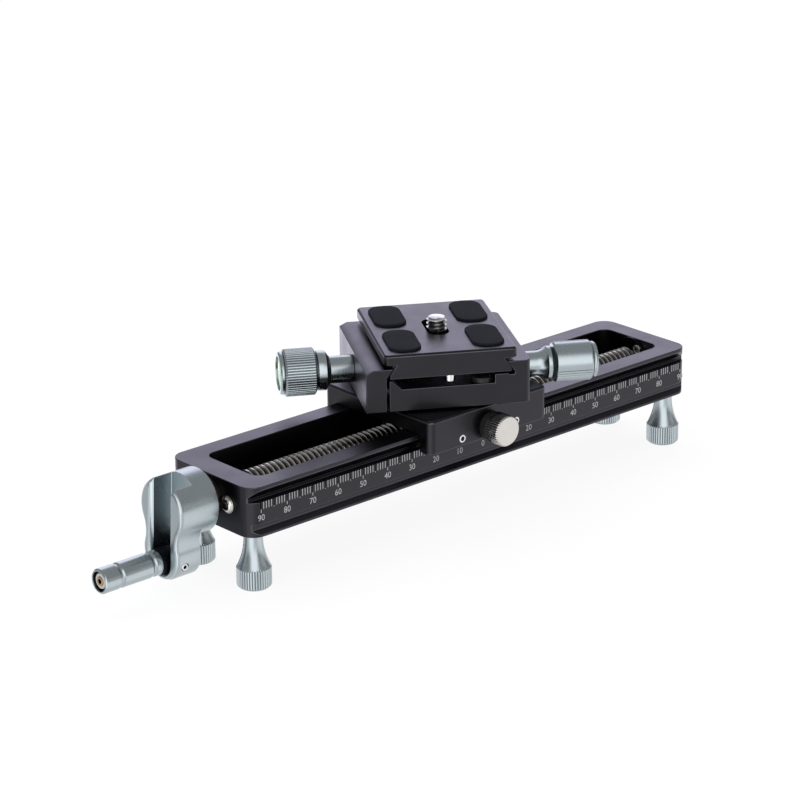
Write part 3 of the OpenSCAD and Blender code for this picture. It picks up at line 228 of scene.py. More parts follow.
class Term:
    """A node's output that takes part in sums as a number does."""

    def __init__(self, graph, socket):
        self.graph = graph
        self.socket = socket

    def __add__(self, other):
        return self.graph.math("ADD", self, other)

    def __sub__(self, other):
        return self.graph.math("SUBTRACT", self, other)

    def __rsub__(self, other):
        return self.graph.math("SUBTRACT", other, self)

    def __mul__(self, other):
        return self.graph.math("MULTIPLY", self, other)

    def __truediv__(self, other):
        return self.graph.math("DIVIDE", self, other)


class Graph:
    """A node tree with short ways to add nodes, sums and links."""

    def __init__(self, tree):
        self.tree = tree
        tree.nodes.clear()

    def add(self, kind, inputs=(), **settings):
        """A node of this kind. Inputs pairs a socket's name or number with a term or value."""
        node = self.tree.nodes.new(kind)
        for key, value in settings.items():
            setattr(node, key, value)
        for key, value in dict(inputs).items():
            self.put(value, node.inputs[key])
        return node

    def put(self, value, socket):
        if isinstance(value, Term):
            self.tree.links.new(value.socket, socket)
        else:
            socket.default_value = value

    def out(self, kind, inputs=(), output=0, **settings):
        """One output of a new node."""
        return Term(self, self.add(kind, inputs, **settings).outputs[output])

    def math(self, operation, *values):
        return self.out("ShaderNodeMath", dict(enumerate(values)), operation=operation)

    def vector(self, x=0.0, y=0.0, z=0.0):
        return self.out("ShaderNodeCombineXYZ", {0: x, 1: y, 2: z})

    def split(self, vector):
        return [Term(self, s) for s in self.add("ShaderNodeSeparateXYZ", {0: vector}).outputs]

    def between(self, value, low, high, start=0.0, stop=1.0):
        """Maps a value from start..stop to low..high."""
        return self.out(
            "ShaderNodeMapRange",
            {"Value": value, "From Min": start, "From Max": stop, "To Min": low, "To Max": high},
        )

    def blend(self, share, first, second):
        """The first colour, changed to the second by this share."""
        return self.out("ShaderNodeMix", {0: share, 6: first, 7: second}, 2, data_type="RGBA")

    def noise(self, place, size, detail=2.0, rough=0.5):
        """Noise whose features are about this many millimetres across."""
        return self.out(
            "ShaderNodeTexNoise",
            {"Vector": place, "Scale": 1 / (size * MM), "Detail": detail, "Roughness": rough},
            "Fac",
        )


class Tree(Graph):
    """A Geometry Nodes tree whose inputs are a shape, these numbers and a material."""

    def __init__(self, name, floats, ints=""):
        tree = bpy.data.node_groups.new(name, "GeometryNodeTree")
        super().__init__(tree)
        kinds = {"Geometry": "Geometry"}
        kinds.update((label, "Float") for label in floats.split())
        kinds.update((label, "Int") for label in ints.split())
        kinds["Material"] = "Material"
        for label, kind in kinds.items():
            tree.interface.new_socket(label, in_out="INPUT", socket_type="NodeSocket" + kind)
        tree.interface.new_socket(
            "Geometry", in_out="OUTPUT", socket_type="NodeSocketGeometry"
        )
        start = self.add("NodeGroupInput")
        self.given = {s.name: Term(self, s) for s in start.outputs if s.name}

    def line(self, count, start, step):
        """Points along X."""
        return self.out(
            "GeometryNodeMeshLine",
            {"Count": count, "Start Location": self.vector(start), "Offset": self.vector(step)},
        )

    def copied(self, points, shape):
        return self.out("GeometryNodeInstanceOnPoints", {"Points": points, "Instance": shape})

    def read(self, name):
        """An attribute of the points."""
        return self.out(
            "GeometryNodeInputNamedAttribute", {"Name": name}, data_type="FLOAT"
        )

    def stored(self, shape, name, value):
        """The shape with this value kept on its points under this name."""
        return self.out(
            "GeometryNodeStoreNamedAttribute",
            {"Geometry": shape, "Name": name, "Value": value},
            data_type="FLOAT",
            domain="POINT",
        )

    def close(self, shape):
        """Ends the tree in real geometry with its material."""
        real = self.out("GeometryNodeRealizeInstances", {0: shape})
        painted = self.out(
            "GeometryNodeSetMaterial", {"Geometry": real, "Material": self.given["Material"]}
        )
        self.add("NodeGroupOutput", {0: painted})
        return self.tree


FLUTE_CURVE = 1.6


def flutes_tree():
    """Cuts flutes into the rows of a turned piece that carry the attribute knurl."""
    tree = Tree("Flutes", "Count Radius Depth Share Turn Middle Half")
    given = tree.given
    x, y, _ = tree.split(tree.out("GeometryNodeInputPosition"))
    angle = tree.math("ARCTAN2", y, x)
    steps = (angle - given["Turn"]) * (1 / (2 * pi)) * given["Count"]
    side = tree.math("FRACT", steps + 0.5) - 0.5
    reach = tree.math("ABSOLUTE", side) / given["Share"]
    hollow = tree.math("POWER", tree.math("MAXIMUM", 1.0 - reach, 0.0), FLUTE_CURVE)
    away = tree.math("ABSOLUTE", tree.math("WRAP", angle - given["Middle"], pi / 2, -pi / 2))
    hollow = hollow * tree.math("LESS_THAN", away, given["Half"])
    marked = tree.read("knurl")
    target = given["Radius"] - hollow * given["Depth"]
    radius = tree.math("SQRT", x * x + y * y)
    inward = tree.math("MAXIMUM", radius - target, 0.0) * marked
    share = inward / tree.math("MAXIMUM", radius, 1e-6) * -1.0
    # painted shade: the flute hollows are stored as groove shade, on top of any the rows already carry
    shade = tree.math("MAXIMUM", tree.read("groove"), hollow * marked)
    shaded = tree.stored(given["Geometry"], "groove", shade)
    return tree.close(
        tree.out(
            "GeometryNodeSetPosition",
            {"Geometry": shaded, "Offset": tree.vector(x * share, y * share)},
        )
    )


def copies_tree():
    """Sets copies of a piece in columns and rows about its own middle."""
    tree = Tree("Copies", "Width Depth", "Columns Rows")
    given = tree.given
    sizes = {"Size X": "Width", "Size Y": "Depth", "Vertices X": "Columns", "Vertices Y": "Rows"}
    grid = tree.out("GeometryNodeMeshGrid", {key: given[name] for key, name in sizes.items()})
    points = tree.out("GeometryNodeMeshToPoints", {"Mesh": grid})
    return tree.close(tree.copied(points, given["Geometry"]))


def pair_tree():
    """Sets two copies of a piece a distance apart along X."""
    tree = Tree("Pair", "Distance")
    apart = tree.given["Distance"]
    return tree.close(tree.copied(tree.line(2, apart * -0.5, apart), tree.given["Geometry"]))


def ticks_tree():
    """A row of small painted bars along X, hanging down from zero."""
    tree = Tree("Ticks", "First Step Width Length Thickness", "Count")
    given = tree.given
    size = tree.vector(given["Width"], given["Thickness"], given["Length"])
    bar = tree.out("GeometryNodeMeshCube", {"Size": size})
    drop = tree.vector(z=given["Length"] * -0.5)
    hung = tree.out("GeometryNodeTransform", {"Geometry": bar, "Translation": drop})
    return tree.close(tree.copied(tree.line(given["Count"], given["First"], given["Step"]), hung))


THREAD_ROWS = 8
THREAD_STEPS = 48
THREAD_WELD = 2e-6


def thread_tree():
    """An outside thread along Z from zero, whose rows follow its helix."""
    tree = Tree("Thread", "Pitch Length Crest Root Chamfer")
    given = tree.given
    pitch, length, crest, root = (given[k] for k in ("Pitch", "Length", "Crest", "Root"))
    turns = tree.math("CEIL", length / pitch) + 3.0
    grid = tree.out(
        "GeometryNodeMeshGrid",
        {
            "Size X": 1.0,
            "Size Y": turns,
            "Vertices X": THREAD_STEPS + 1,
            "Vertices Y": turns * float(THREAD_ROWS) + 1.0,
        },
    )
    x, y, _ = tree.split(tree.out("GeometryNodeInputPosition"))
    angle = x + 0.5
    along = y + turns * 0.5
    raw = (along + angle - 2.0) * pitch
    # crest, flank, root and flank each take a quarter of the pitch
    fold = tree.math("ABSOLUTE", tree.math("FRACT", along + 1e-4) - 0.5)
    height = tree.math("MAXIMUM", (fold - 0.125) * 4.0, 0.0)
    height = tree.math("MINIMUM", height, 1.0)
    radius = root + height * (crest - root)
    # the far end tapers, and past each end the rows close on the axis
    to_end = tree.math("MAXIMUM", length - raw, 0.0)
    radius = tree.math("MINIMUM", radius, crest - given["Chamfer"] + to_end)
    margin = pitch * (1.02 / THREAD_ROWS)
    after = tree.math("GREATER_THAN", raw, margin * -1.0)
    before = tree.math("LESS_THAN", raw, length + margin)
    radius = radius * (after * before)
    level = tree.math("MINIMUM", tree.math("MAXIMUM", raw, 0.0), length)
    turned_by = angle * (2 * pi)
    wrapped = tree.vector(
        radius * tree.math("COSINE", turned_by), radius * tree.math("SINE", turned_by), level
    )
    # painted shade: the thread's roots and lower flanks are stored as groove shade
    shaded = tree.stored(grid, "groove", 1.0 - height)
    bent = tree.out("GeometryNodeSetPosition", {"Geometry": shaded, "Position": wrapped})
    return tree.close(
        tree.out("GeometryNodeMergeByDistance", {"Geometry": bent, "Distance": THREAD_WELD})
    )


COIL_STEPS = 40
WIRE_STEPS = 8


def coil_tree():
    """A round wire wound along Z from zero: a spring, or the ridges of an inside thread."""
    tree = Tree("Coil", "Turns Length Radius Wire")
    given = tree.given
    spiral = tree.out(
        "GeometryNodeCurveSpiral",
        {
            "Resolution": COIL_STEPS,
            "Rotations": given["Turns"],
            "Start Radius": given["Radius"],
            "End Radius": given["Radius"],
            "Height": given["Length"],
        },
    )
    section = tree.out(
        "GeometryNodeCurvePrimitiveCircle",
        {"Resolution": WIRE_STEPS, "Radius": given["Wire"]},
    )
    return tree.close(
        tree.out(
            "GeometryNodeCurveToMesh",
            {"Curve": spiral, "Profile Curve": section, "Fill Caps": True},
        )
    )


MAKERS = {
    "Flutes": flutes_tree,
    "Copies": copies_tree,
    "Pair": pair_tree,
    "Ticks": ticks_tree,
    "Thread": thread_tree,
    "Coil": coil_tree,
}
TREES = {}


def run_tree(piece, name, **values):
    """Runs a tree on a piece with these inputs and keeps the result as its plain mesh."""
    if name not in TREES:
        TREES[name] = MAKERS[name]()
    modifier = piece.modifiers.new(name, "NODES")
    modifier.node_group = TREES[name]
    values["Material"] = piece.data.materials[0]
    for item in modifier.node_group.interface.items_tree:
        if item.item_type == "SOCKET" and item.in_out == "INPUT" and item.name in values:
            modifier[item.identifier] = values[item.name]
    return baked(piece)


# Meshes

WELD = 1e-6
SOLID_WELD = 2e-6
BROAD_EDGE = 0.85 * MM
FLAT_WITHIN = radians(0.4)
EDGE_FROM = radians(30)
BEND_FROM = radians(20)
WIDE_BEND = radians(40)
FINE_SHARP = 35
FLUTE_POINTS = 8


def linked(name, data):
    """A new object in the scene."""
    item = bpy.data.objects.new(name, data)
    bpy.context.scene.collection.objects.link(item)
    return item


def new_piece(name, mesh, *materials):
    piece = linked(name, mesh)
    for material in materials:
        mesh.materials.append(material)
    return piece


def mesh_of(name, verts, faces):
    mesh = bpy.data.meshes.new(name)
    mesh.from_pydata(verts, [], faces)
    return mesh


def grown(name, material, tree, **values):
    """A piece that a tree makes from nothing."""
    return run_tree(new_piece(name, bpy.data.meshes.new(name), look(material)), tree, **values)


def baked(piece):
    """Works the piece's modifiers into a plain mesh."""
    graph = bpy.context.evaluated_depsgraph_get()
    mesh = bpy.data.meshes.new_from_object(
        piece.evaluated_get(graph), preserve_all_data_layers=True, depsgraph=graph
    )
    materials = list(piece.data.materials)
    piece.modifiers.clear()
    piece.data = mesh
    if not any(mesh.materials):
        mesh.materials.clear()
        for material in materials:
            mesh.materials.append(material)
    return piece


def smoothed(piece, sharp=50):
    """Smooth shading that keeps flat faces flat and corners over this angle sharp."""
    piece.data.shade_smooth()
    piece.data.set_sharp_from_angle(angle=radians(sharp))
    modifier = piece.modifiers.new("Normals", "WEIGHTED_NORMAL")
    modifier.keep_sharp = True
    modifier.weight = 80
    return baked(piece)


def pointed_out(mesh, weld=0.0):
    """Merges points closer than this and turns the faces outwards."""
    work = bmesh.new()
    work.from_mesh(mesh)
    if weld:
        bmesh.ops.remove_doubles(work, verts=work.verts, dist=weld)
    bmesh.ops.recalc_face_normals(work, faces=work.faces)
    work.to_mesh(mesh)
    work.free()


def eased(profile, size, closed=False):
    """A profile of (radius, height, mark) whose corners are rounded over this size."""
    points = [tuple(p) + ("",) * (3 - len(p)) for p in profile]
    result = []
    for i, (r, z, mark) in enumerate(points):
        before, after = points[i - 1], points[(i + 1) % len(points)]
        end = not closed and i in (0, len(points) - 1)
        a = (before[0] - r, before[1] - z)
        b = (after[0] - r, after[1] - z)
        la, lb = hypot(*a), hypot(*b)
        plain = end or "hex" in (mark, before[2], after[2]) or mark in ("sharp", "deep")
        if not plain:
            bend = pi - acos(max(-1, min(1, (a[0] * b[0] + a[1] * b[1]) / (la * lb))))
            plain = bend < BEND_FROM
        if plain:
            result.append((r, z, mark))
            continue
        cut = min(size, 0.45 * la, 0.45 * lb)
        p0 = (r + a[0] / la * cut, z + a[1] / la * cut)
        p2 = (r + b[0] / lb * cut, z + b[1] / lb * cut)
        steps = 3 if bend > WIDE_BEND else 2
        for t in (k / steps for k in range(steps + 1)):
            r_at, z_at = (
                (1 - t) ** 2 * p + 2 * t * (1 - t) * c + t**2 * q
                for p, c, q in zip(p0, (r, z), p2)
            )
            result.append((r_at, z_at, mark))
    return result


def turned(name, profile, material, steps=96, ease=0.12, ring=False, start=0.0):
    """A turned piece about Z from rows of (radius, height, mark) in millimetres.

    Knurl rows take flutes, hex rows are hexagons, and hex and deep rows are marked for painted shade.
    """
    verts, marks, deep, lengths, firsts = [], [], [], [], []
    length, before = 0.0, None
    for r, z, mark in eased(profile, ease, ring):
        if before:
            length += hypot(r - before[0], z - before[1]) * MM
        before = (r, z)
        pole = r < 1e-6
        firsts.append((len(verts), pole))
        for k in range(1 if pole else steps):
            angle = start + 2 * pi * k / steps
            radius = r
            if mark == "hex":
                radius = r * cos(pi / 6) / cos((angle % (pi / 3)) - pi / 6)
            verts.append((radius * cos(angle) * MM, radius * sin(angle) * MM, z * MM))
            marks.append(float(mark == "knurl"))
            # hex and deep rows are marked for painted shade
            deep.append(float(mark in ("hex", "deep")))
            lengths.append(length)
    faces, turns = [], []
    pairs = list(zip(firsts, firsts[1:])) + [(firsts[-1], firsts[0])] * ring
    for (a, a_pole), (b, b_pole) in pairs:
        for k in range(0 if a_pole and b_pole else steps):
            m = (k + 1) % steps
            u0, u1 = k / steps, (k + 1) / steps
            if a_pole:
                faces.append((a, b + m, b + k))
                turns.append((u0, u1, u0))
            elif b_pole:
                faces.append((a + k, a + m, b))
                turns.append((u0, u1, u0))
            else:
                faces.append((a + k, a + m, b + m, b + k))
                turns.append((u0, u1, u1, u0))
    mesh = mesh_of(name, verts, faces)
    for label, values in (("knurl", marks), ("groove", deep)):
        mesh.attributes.new(label, "FLOAT", "POINT").data.foreach_set("value", values)
    flat = []
    for face, us in zip(faces, turns):
        for vertex, u in zip(face, us):
            flat.extend((u, lengths[vertex]))
    mesh.uv_layers.new(name="turning").data.foreach_set("uv", flat)
    pointed_out(mesh)
    return new_piece(name, mesh, material)


def fluted(
    node, profile, material, count, radius, ease, ring=False, turn=0.0, middle=0.0, half=2.0
):
    """A turned piece with flutes round the part within half a turn of the middle."""
    sizes = bpy.context.scene.rail_knobs
    # the points lie evenly in each flute
    start = turn + pi / count / FLUTE_POINTS
    steps = count * FLUTE_POINTS
    piece = turned(node + "_finish", profile, look(material), steps, ease, ring, start)
    run_tree(
        piece, "Flutes", Count=float(count), Radius=radius * MM, Depth=sizes.flute,
        Share=sizes.flute_share, Turn=turn, Middle=middle, Half=half,
    )
    return smoothed(piece)


def joined(name, pieces):
    """One mesh from several pieces, with their materials."""
    work = bmesh.new()
    materials = []
    for piece in pieces:
        first = len(work.faces)
        work.from_mesh(piece.data)
        work.faces.ensure_lookup_table()
        own = list(piece.data.materials)
        materials += [material for material in own if material not in materials]
        for face in work.faces[first:]:
            face.material_index = materials.index(own[min(face.material_index, len(own) - 1)])
    mesh = bpy.data.meshes.new(name)
    work.to_mesh(mesh)
    work.free()
    for piece in pieces:
        bpy.data.objects.remove(piece)
    return new_piece(name, mesh, *materials)


def rounded_block(name, length, width, radius, rows, material, corner=10):
    """A block with round corners from rows of (inset, height), closed at both ends."""
    verts, faces = [], []
    for inset, z in rows:
        r = max(radius - inset, 0.05)
        for quarter, (sx, sy) in enumerate(((1, 1), (-1, 1), (-1, -1), (1, -1))):
            cx, cy = sx * (length / 2 - inset - r), sy * (width / 2 - inset - r)
            for k in range(corner + 1):
                angle = (quarter + k / corner) * pi / 2
                verts.append(((cx + r * cos(angle)) * MM, (cy + r * sin(angle)) * MM, z * MM))
    count = 4 * (corner + 1)
    for a in range(0, len(verts) - count, count):
        b = a + count
        for k in range(count):
            m = (k + 1) % count
            faces.append((a + k, a + m, b + m, b + k))
    faces.append(tuple(reversed(range(count))))
    faces.append(tuple(range(len(verts) - count, len(verts))))
    mesh = mesh_of(name, verts, faces)
    pointed_out(mesh, WELD)
    return new_piece(name, mesh, material)


# Pieces in their places


def add_to(piece, place, node):
    """Puts a piece in its place on a node's body."""
    piece.data.transform(place)
    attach(piece, BODY_OF[node])


def settle(piece, place, node):
    """Puts a piece in its place instead of a node."""
    add_to(piece, place, node)
    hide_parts(node)


def turn_out(node, place, profile, material, steps=96, ease=0.12, ring=False, sharp=50):
    """Turns the piece that stands for a node and settles it."""
    piece = turned(node + "_finish", profile, look(material), steps, ease, ring)
    settle(smoothed(piece, sharp), place, node)


def collar(node, place, inner, outer, low, high, material):
    """Turns a plain ring that stands for a node."""
    rows = [(inner, low), (outer, low), (outer, high), (inner, high)]
    turn_out(node, place, rows, material, ring=True)


def dress(node, material):
    """Gives a solid that stays in view its material."""
    solid = frame["nodes"][node]
    for spot in solid.material_slots:
        spot.material = look(material)
    if not solid.material_slots:
        solid.data.materials.append(look(material))


def refine(node, material="black_blasted", worn="black_edge_wear_and_highlight", share=1.0, broad=None):
    """Stands for a solid with its own shape, and a bevel over this share of the usual width, lighter for wear and
    as a painted highlight.

    Edges for which broad(edge) holds are rounded over BROAD_EDGE instead.
    """
    width = bpy.context.scene.rail_sizes.edge * share
    source = frame["nodes"][node].data
    mesh = mesh_of(
        node + "_finish",
        [v.co[:] for v in source.vertices],
        [list(p.vertices) for p in source.polygons],
    )
    work = bmesh.new()
    work.from_mesh(mesh)
    bmesh.ops.remove_doubles(work, verts=work.verts, dist=SOLID_WELD)
    bmesh.ops.dissolve_limit(
        work, angle_limit=FLAT_WITHIN, verts=work.verts, edges=work.edges
    )
    if broad:
        weights = work.edges.layers.float.new("bevel_weight_edge")
        for edge in work.edges:
            if edge.calc_face_angle(0.0) > EDGE_FROM:
                edge[weights] = 1.0 if broad(edge) else width / BROAD_EDGE
    work.to_mesh(mesh)
    work.free()
    piece = new_piece(node + "_finish", mesh, look(material), look(worn))
    modifier = piece.modifiers.new("Edges", "BEVEL")
    modifier.width = BROAD_EDGE if broad else width
    modifier.segments = 4 if broad else 2
    modifier.limit_method = "WEIGHT" if broad else "ANGLE"
    modifier.angle_limit = EDGE_FROM
    modifier.use_clamp_overlap = False
    # the bevels take the lighter edge finish: wear, and a painted highlight along every edge
    modifier.material = 1
    settle(smoothed(baked(piece)), Matrix(), node)


# Places, taken from the solid model's joints


def at_joint(name, out, side):
    """The place at a joint with Z along out and X towards side."""
    z = Vector(out).normalized()
    x = (Vector(side) - z * z.dot(Vector(side))).normalized()
    axes = Matrix((x, z.cross(x), z)).transposed().to_4x4()
    return Matrix.Translation(Vector(JOINTS[name]["pos_m"])) @ axes


def shift(x=0.0, y=0.0, z=0.0):
    return Matrix.Translation(Vector((x, y, z)) * MM)


def turn(axis, angle):
    return Matrix.Rotation(radians(angle), 4, axis)


UP = Vector((0, 0, 1))
AWAY = Vector((1, 0, 0))
TO_RIGHT_KNOB = -Vector(JOINTS["jaw_slide"]["axis"])
PAN = atan2(TO_RIGHT_KNOB.y, TO_RIGHT_KNOB.x)
PAN_POS = Vector(JOINTS["clamp_pan"]["pos_m"])
SCREW_LINE = Matrix.Translation(Vector(JOINTS["crank_turn"]["pos_m"])) @ turn("Y", 90)
CLAMP = Matrix.Translation(Vector((PAN_POS.x, PAN_POS.y, 0))) @ Matrix.Rotation(PAN, 4, "Z")
JAW_KNOB = at_joint("jaw_knob_turn", -TO_RIGHT_KNOB, UP)
PAN_KNOB = at_joint("pan_lock_turn", TO_RIGHT_KNOB, -UP)
LOCK = at_joint("carriage_lock_turn", (0, -1, 0), AWAY)
FOLD = Vector(JOINTS["handle_fold"]["axis"])
HANDLE = at_joint("handle_fold", -AWAY, FOLD.cross(AWAY))
PIVOT = at_joint("handle_fold", -FOLD, AWAY)


# Finishes

TURNING = "turning"
LINE_STRETCH = 3.0


def rgba(colour, factor=1.0):
    """The colour times this, up to one, with full alpha."""
    return tuple(min(1.0, c * factor) for c in colour) + (1.0,)


def toned(graph, value, colour, spread):
    """The colour, darker and lighter by this share as the value goes from nought to one."""
    return graph.blend(value, rgba(colour, 1 - spread), rgba(colour, 1 + spread))


def graph_of(owner):
    """The cleared node graph of a material or a world."""
    owner.use_nodes = True
    return Graph(owner.node_tree)


def shader(name):
    """A new material, its graph and its principled shader."""
    material = bpy.data.materials.new(name)
    graph = graph_of(material)
    surface = graph.add("ShaderNodeBsdfPrincipled")
    graph.add("ShaderNodeOutputMaterial", {"Surface": Term(graph, surface.outputs[0])})
    return material, graph, surface


def turning_lines(graph, size):
    """Fine lines round a turned piece, along its own turning map."""
    uv = graph.out("ShaderNodeUVMap", uv_map=TURNING)
    scaled = graph.out(
        "ShaderNodeMapping", {"Vector": uv, "Scale": (LINE_STRETCH, 1 / (size * MM), 1.0)}
    )
    return graph.out(
        "ShaderNodeTexNoise",
        {"Vector": scaled, "Scale": 1.0, "Detail": 3.0, "Roughness": 0.7},
        "Fac",
        noise_dimensions="2D",
    )


def finish(
    name,
    colour,
    metallic=1.0,
    rough=0.35,
    rough_spread=0.08,
    tone=0.12,
    blotch=9.0,
    grain=0.3,
    bump=0.02,
    lines=0.0,
    line_bump=0.03,
    tint=(1.0, 1.0, 1.0),
    anisotropic=0.0,
    coat=0.0,
    coat_rough=0.05,
    scuffs=0.0,
    shade=0.0,
    specular=0.5,
):
    """A machined or moulded surface whose tone, gloss and grain vary, with turning lines, and with painted shade
    darkening its marked grooves.
    """
    material, graph, surface = shader(name)
    here = graph.out("ShaderNodeTexCoord", output="Object")
    height = graph.noise(here, grain)
    mixed = graph.noise(here, blotch, 3.0) * 0.6 + height * 0.4
    if lines:
        height = turning_lines(graph, lines)
        mixed = mixed * 0.5 + height * 0.5
        bump = line_bump
    base = toned(graph, graph.between(mixed, 0.0, 1.0, 0.3, 0.7), colour, tone)
    gloss = graph.between(mixed, rough - rough_spread, rough + rough_spread, 0.3, 0.7)
    if scuffs:
        marks = graph.between(graph.noise(here, 1.6, 6.0, 0.75), 0.0, 1.0, 0.62, 0.7)
        worn = tuple(c * 1.5 + 0.03 for c in colour)
        base = graph.blend(marks * scuffs, base, rgba(worn))
    # painted shade: marked grooves (hex sockets, deep rows, flute hollows, thread roots) are darkened towards a
    # near-black of the colour by this share
    if shade:
        groove = graph.out("ShaderNodeAttribute", output="Fac", attribute_name="groove")
        base = graph.blend(groove * shade, base, rgba(colour, 0.06))
    relief = graph.out(
        "ShaderNodeBump", {"Strength": 1.0, "Distance": bump * MM, "Height": height}
    )
    values = {
        "Base Color": base,
        "Roughness": gloss,
        "Normal": relief,
        "Metallic": metallic,
        "Specular IOR Level": specular,
        "Specular Tint": rgba(tint),
    }
    if anisotropic:
        values["Anisotropic"] = anisotropic
        values["Tangent"] = graph.out(
            "ShaderNodeTangent", direction_type="UV_MAP", uv_map=TURNING
        )
    if coat:
        values.update({"Coat Weight": coat, "Coat Roughness": coat_rough})
    for label, value in values.items():
        graph.put(value, surface.inputs[label])
    return material


def level_finish():
    """Green liquid behind a clear lens, with a dark ring painted on its back."""
    material, graph, surface = shader("level_liquid")
    along = graph.split(graph.out("ShaderNodeUVMap", uv_map=TURNING))[1]
    off = graph.math("ABSOLUTE", along - LEVEL_RING_AT)
    ring = graph.between(off, 1.0, 0.0, 0.0, LEVEL_RING_W) * 0.75
    here = graph.out("ShaderNodeTexCoord", output="Object")
    cloudy = graph.between(graph.noise(here, 3.0), 0.0, 1.0, 0.3, 0.7)
    base = toned(graph, cloudy, bpy.context.scene.rail_finishes.level, 0.25)
    base = graph.blend(ring, base, (0.03, 0.05, 0.02, 1.0))
    graph.put(base, surface.inputs["Base Color"])
    gloss = graph.between(graph.noise(here, 1.0), 0.05, 0.12)
    graph.put(gloss, surface.inputs["Roughness"])
    graph.put(0.12, surface.inputs["Specular IOR Level"])
    return material


def finish_settings():
    """What sets each finish apart."""
    colours = bpy.context.scene.rail_finishes
    black, blue = tuple(colours.black), tuple(colours.blue_grey)
    lilac = (0.94, 0.93, 1.0)
    # shade sets the strength of the painted shade in each finish's marked grooves
    return {
        "black_blasted": dict(
            colour=black, rough=0.36, tone=0.1, grain=0.16, bump=0.004, tint=lilac,
            scuffs=0.1, coat=0.35, coat_rough=0.32,
        ),
        # the edge finishes are lighter than their bodies, for wear and as a painted highlight along the edges
        "black_edge_wear_and_highlight": dict(
            colour=tuple(c * 4 for c in black), rough=0.26, tone=0.25, grain=0.3,
            bump=0.004, tint=lilac, scuffs=0.4,
        ),
        "black_turned": dict(
            colour=black, rough=0.34, lines=0.12, line_bump=0.004, tint=lilac, shade=0.9
        ),
        "blue_blasted": dict(
            colour=blue, rough=0.3, tone=0.05, grain=0.14, bump=0.004, scuffs=0.05
        ),
        # lighter for wear and as a painted highlight along the edges
        "blue_edge_wear_and_highlight": dict(
            colour=rgba(blue, 1.25)[:3], rough=0.26, tone=0.06, grain=0.2, bump=0.003
        ),
        "blue_turned": dict(
            colour=blue, rough=0.26, rough_spread=0.05, tone=0.05, lines=0.1,
            line_bump=0.0012, shade=0.85,
        ),
        "stainless_turned": dict(
            colour=(0.54, 0.523, 0.5), rough=0.24, tone=0.1, lines=0.09,
            line_bump=0.002, anisotropic=0.7, shade=0.75,
        ),
        "bright_steel": dict(
            colour=(0.72, 0.71, 0.7), rough=0.18, tone=0.1, grain=0.5, bump=0.004, shade=0.8
        ),
        "screw_steel": dict(
            colour=(0.6, 0.58, 0.55), rough=0.18, tone=0.12, grain=0.4, bump=0.004,
            scuffs=0.15, shade=0.7,
        ),
        "oiled_thread": dict(
            colour=(0.46, 0.445, 0.43), rough=0.2, rough_spread=0.06, tone=0.2,
            blotch=4.0, grain=0.4, bump=0.006, scuffs=0.2, shade=0.97,
        ),
        "brass_machined": dict(
            colour=(0.66, 0.5, 0.26), rough=0.3, tone=0.15, grain=0.4, bump=0.012, scuffs=0.3
        ),
        "bearing_bronze": dict(
            colour=(0.09, 0.075, 0.06), rough=0.3, tone=0.2, lines=0.12, line_bump=0.002
        ),
        "bronze_plain": dict(
            colour=(0.5, 0.33, 0.2), rough=0.32, tone=0.2, grain=0.2, bump=0.012,
            scuffs=0.3, shade=0.85,
        ),
        "black_plastic": dict(
            colour=(0.022, 0.022, 0.023), metallic=0.0, rough=0.45, grain=0.25,
            bump=0.01, specular=0.3,
        ),
        "pad_rubber": dict(
            colour=(0.021, 0.022, 0.03), metallic=0.0, rough=0.7, tone=0.15,
            grain=0.22, bump=0.02, specular=0.04,
        ),
        "white_nylon": dict(
            colour=(0.82, 0.82, 0.8), metallic=0.0, rough=0.35, tone=0.06, grain=0.4,
            bump=0.015,
        ),
        "scale_paint": dict(
            colour=tuple(colours.paint), metallic=0.0, rough=0.5, tone=0.1, grain=0.15,
            bump=0.01,
        ),
        "bubble": dict(
            colour=(0.72, 0.86, 0.5), metallic=0.0, rough=0.08, tone=0.1, grain=0.6,
            bump=0.004, coat=1.0,
        ),
    }


FINISHES = {}


def look(name):
    """The finish of this name, made once."""
    if name not in FINISHES:
        if name == "level_liquid":
            FINISHES[name] = level_finish()
        else:
            FINISHES[name] = finish(name, **finish_settings()[name])
    return FINISHES[name]


# Sizes that follow the solid model, in millimetres

SOCKET_R = 4.8
SIDE_SOCKET_R = 3.2
SIDE_SOCKET_X = 30.0
SOCKET_LEN = 4.0
RIDGE_SHARE = 0.24
BAND_TOP = 11.15
RAIL_FRONT = -19.5
NUMBER_GAP = 0.6
FONT_RATIO = 1.4
PAINT_THICK = 0.02
FEET_APART = (177.0, 27.0)
LEAD_X0 = -84.45
LEAD_X1 = 85.3
LEAD_CREST = 4.0
LEAD_ROOT = 3.0
CRANK_END_X = -104.3
FAR_END_X = 91.8
SPACER_X = -98.2
BEARING_X = -95.5
FAR_COVER_X = 86.4
FAR_BEARING_X = 87.0
CARRIAGE_X = -2.2
CRANK_SLOT_REACH = 5.2
PIVOT_HALF = sqrt(8.4**2 - (16.4 - 14.0) ** 2) - 0.1
HANDLE_R = 3.9
HANDLE_END = 24.2
LOCK_R = 4.975
JAW_KNOB_R = 7.5
LEVEL_AT = 19.1
LEVEL_RIM = 23.0
LEVEL_TOP = 23.4
LEVEL_R = 5.35
LEVEL_RING_AT = (LEVEL_R + LEVEL_RIM - LEVEL_AT + 2.6) * MM
LEVEL_RING_W = 0.28 * MM
PAN_KNOB_R = 6.45
PAN_RIBS = 9
PAN_RIB_COUNT = 40
PAN_RIB_TURN = radians(-41)
PADS_APART = (26.2, 24.1)
PLATE_TOP = 40.55
CAMERA_LENGTH = 3.95
CAMERA_CREST = 3.175
CAMERA_ROOT = 2.45


# Pieces


class RailPiece:
    """What every piece's operator shares."""

    bl_options = {"REGISTER", "UNDO"}


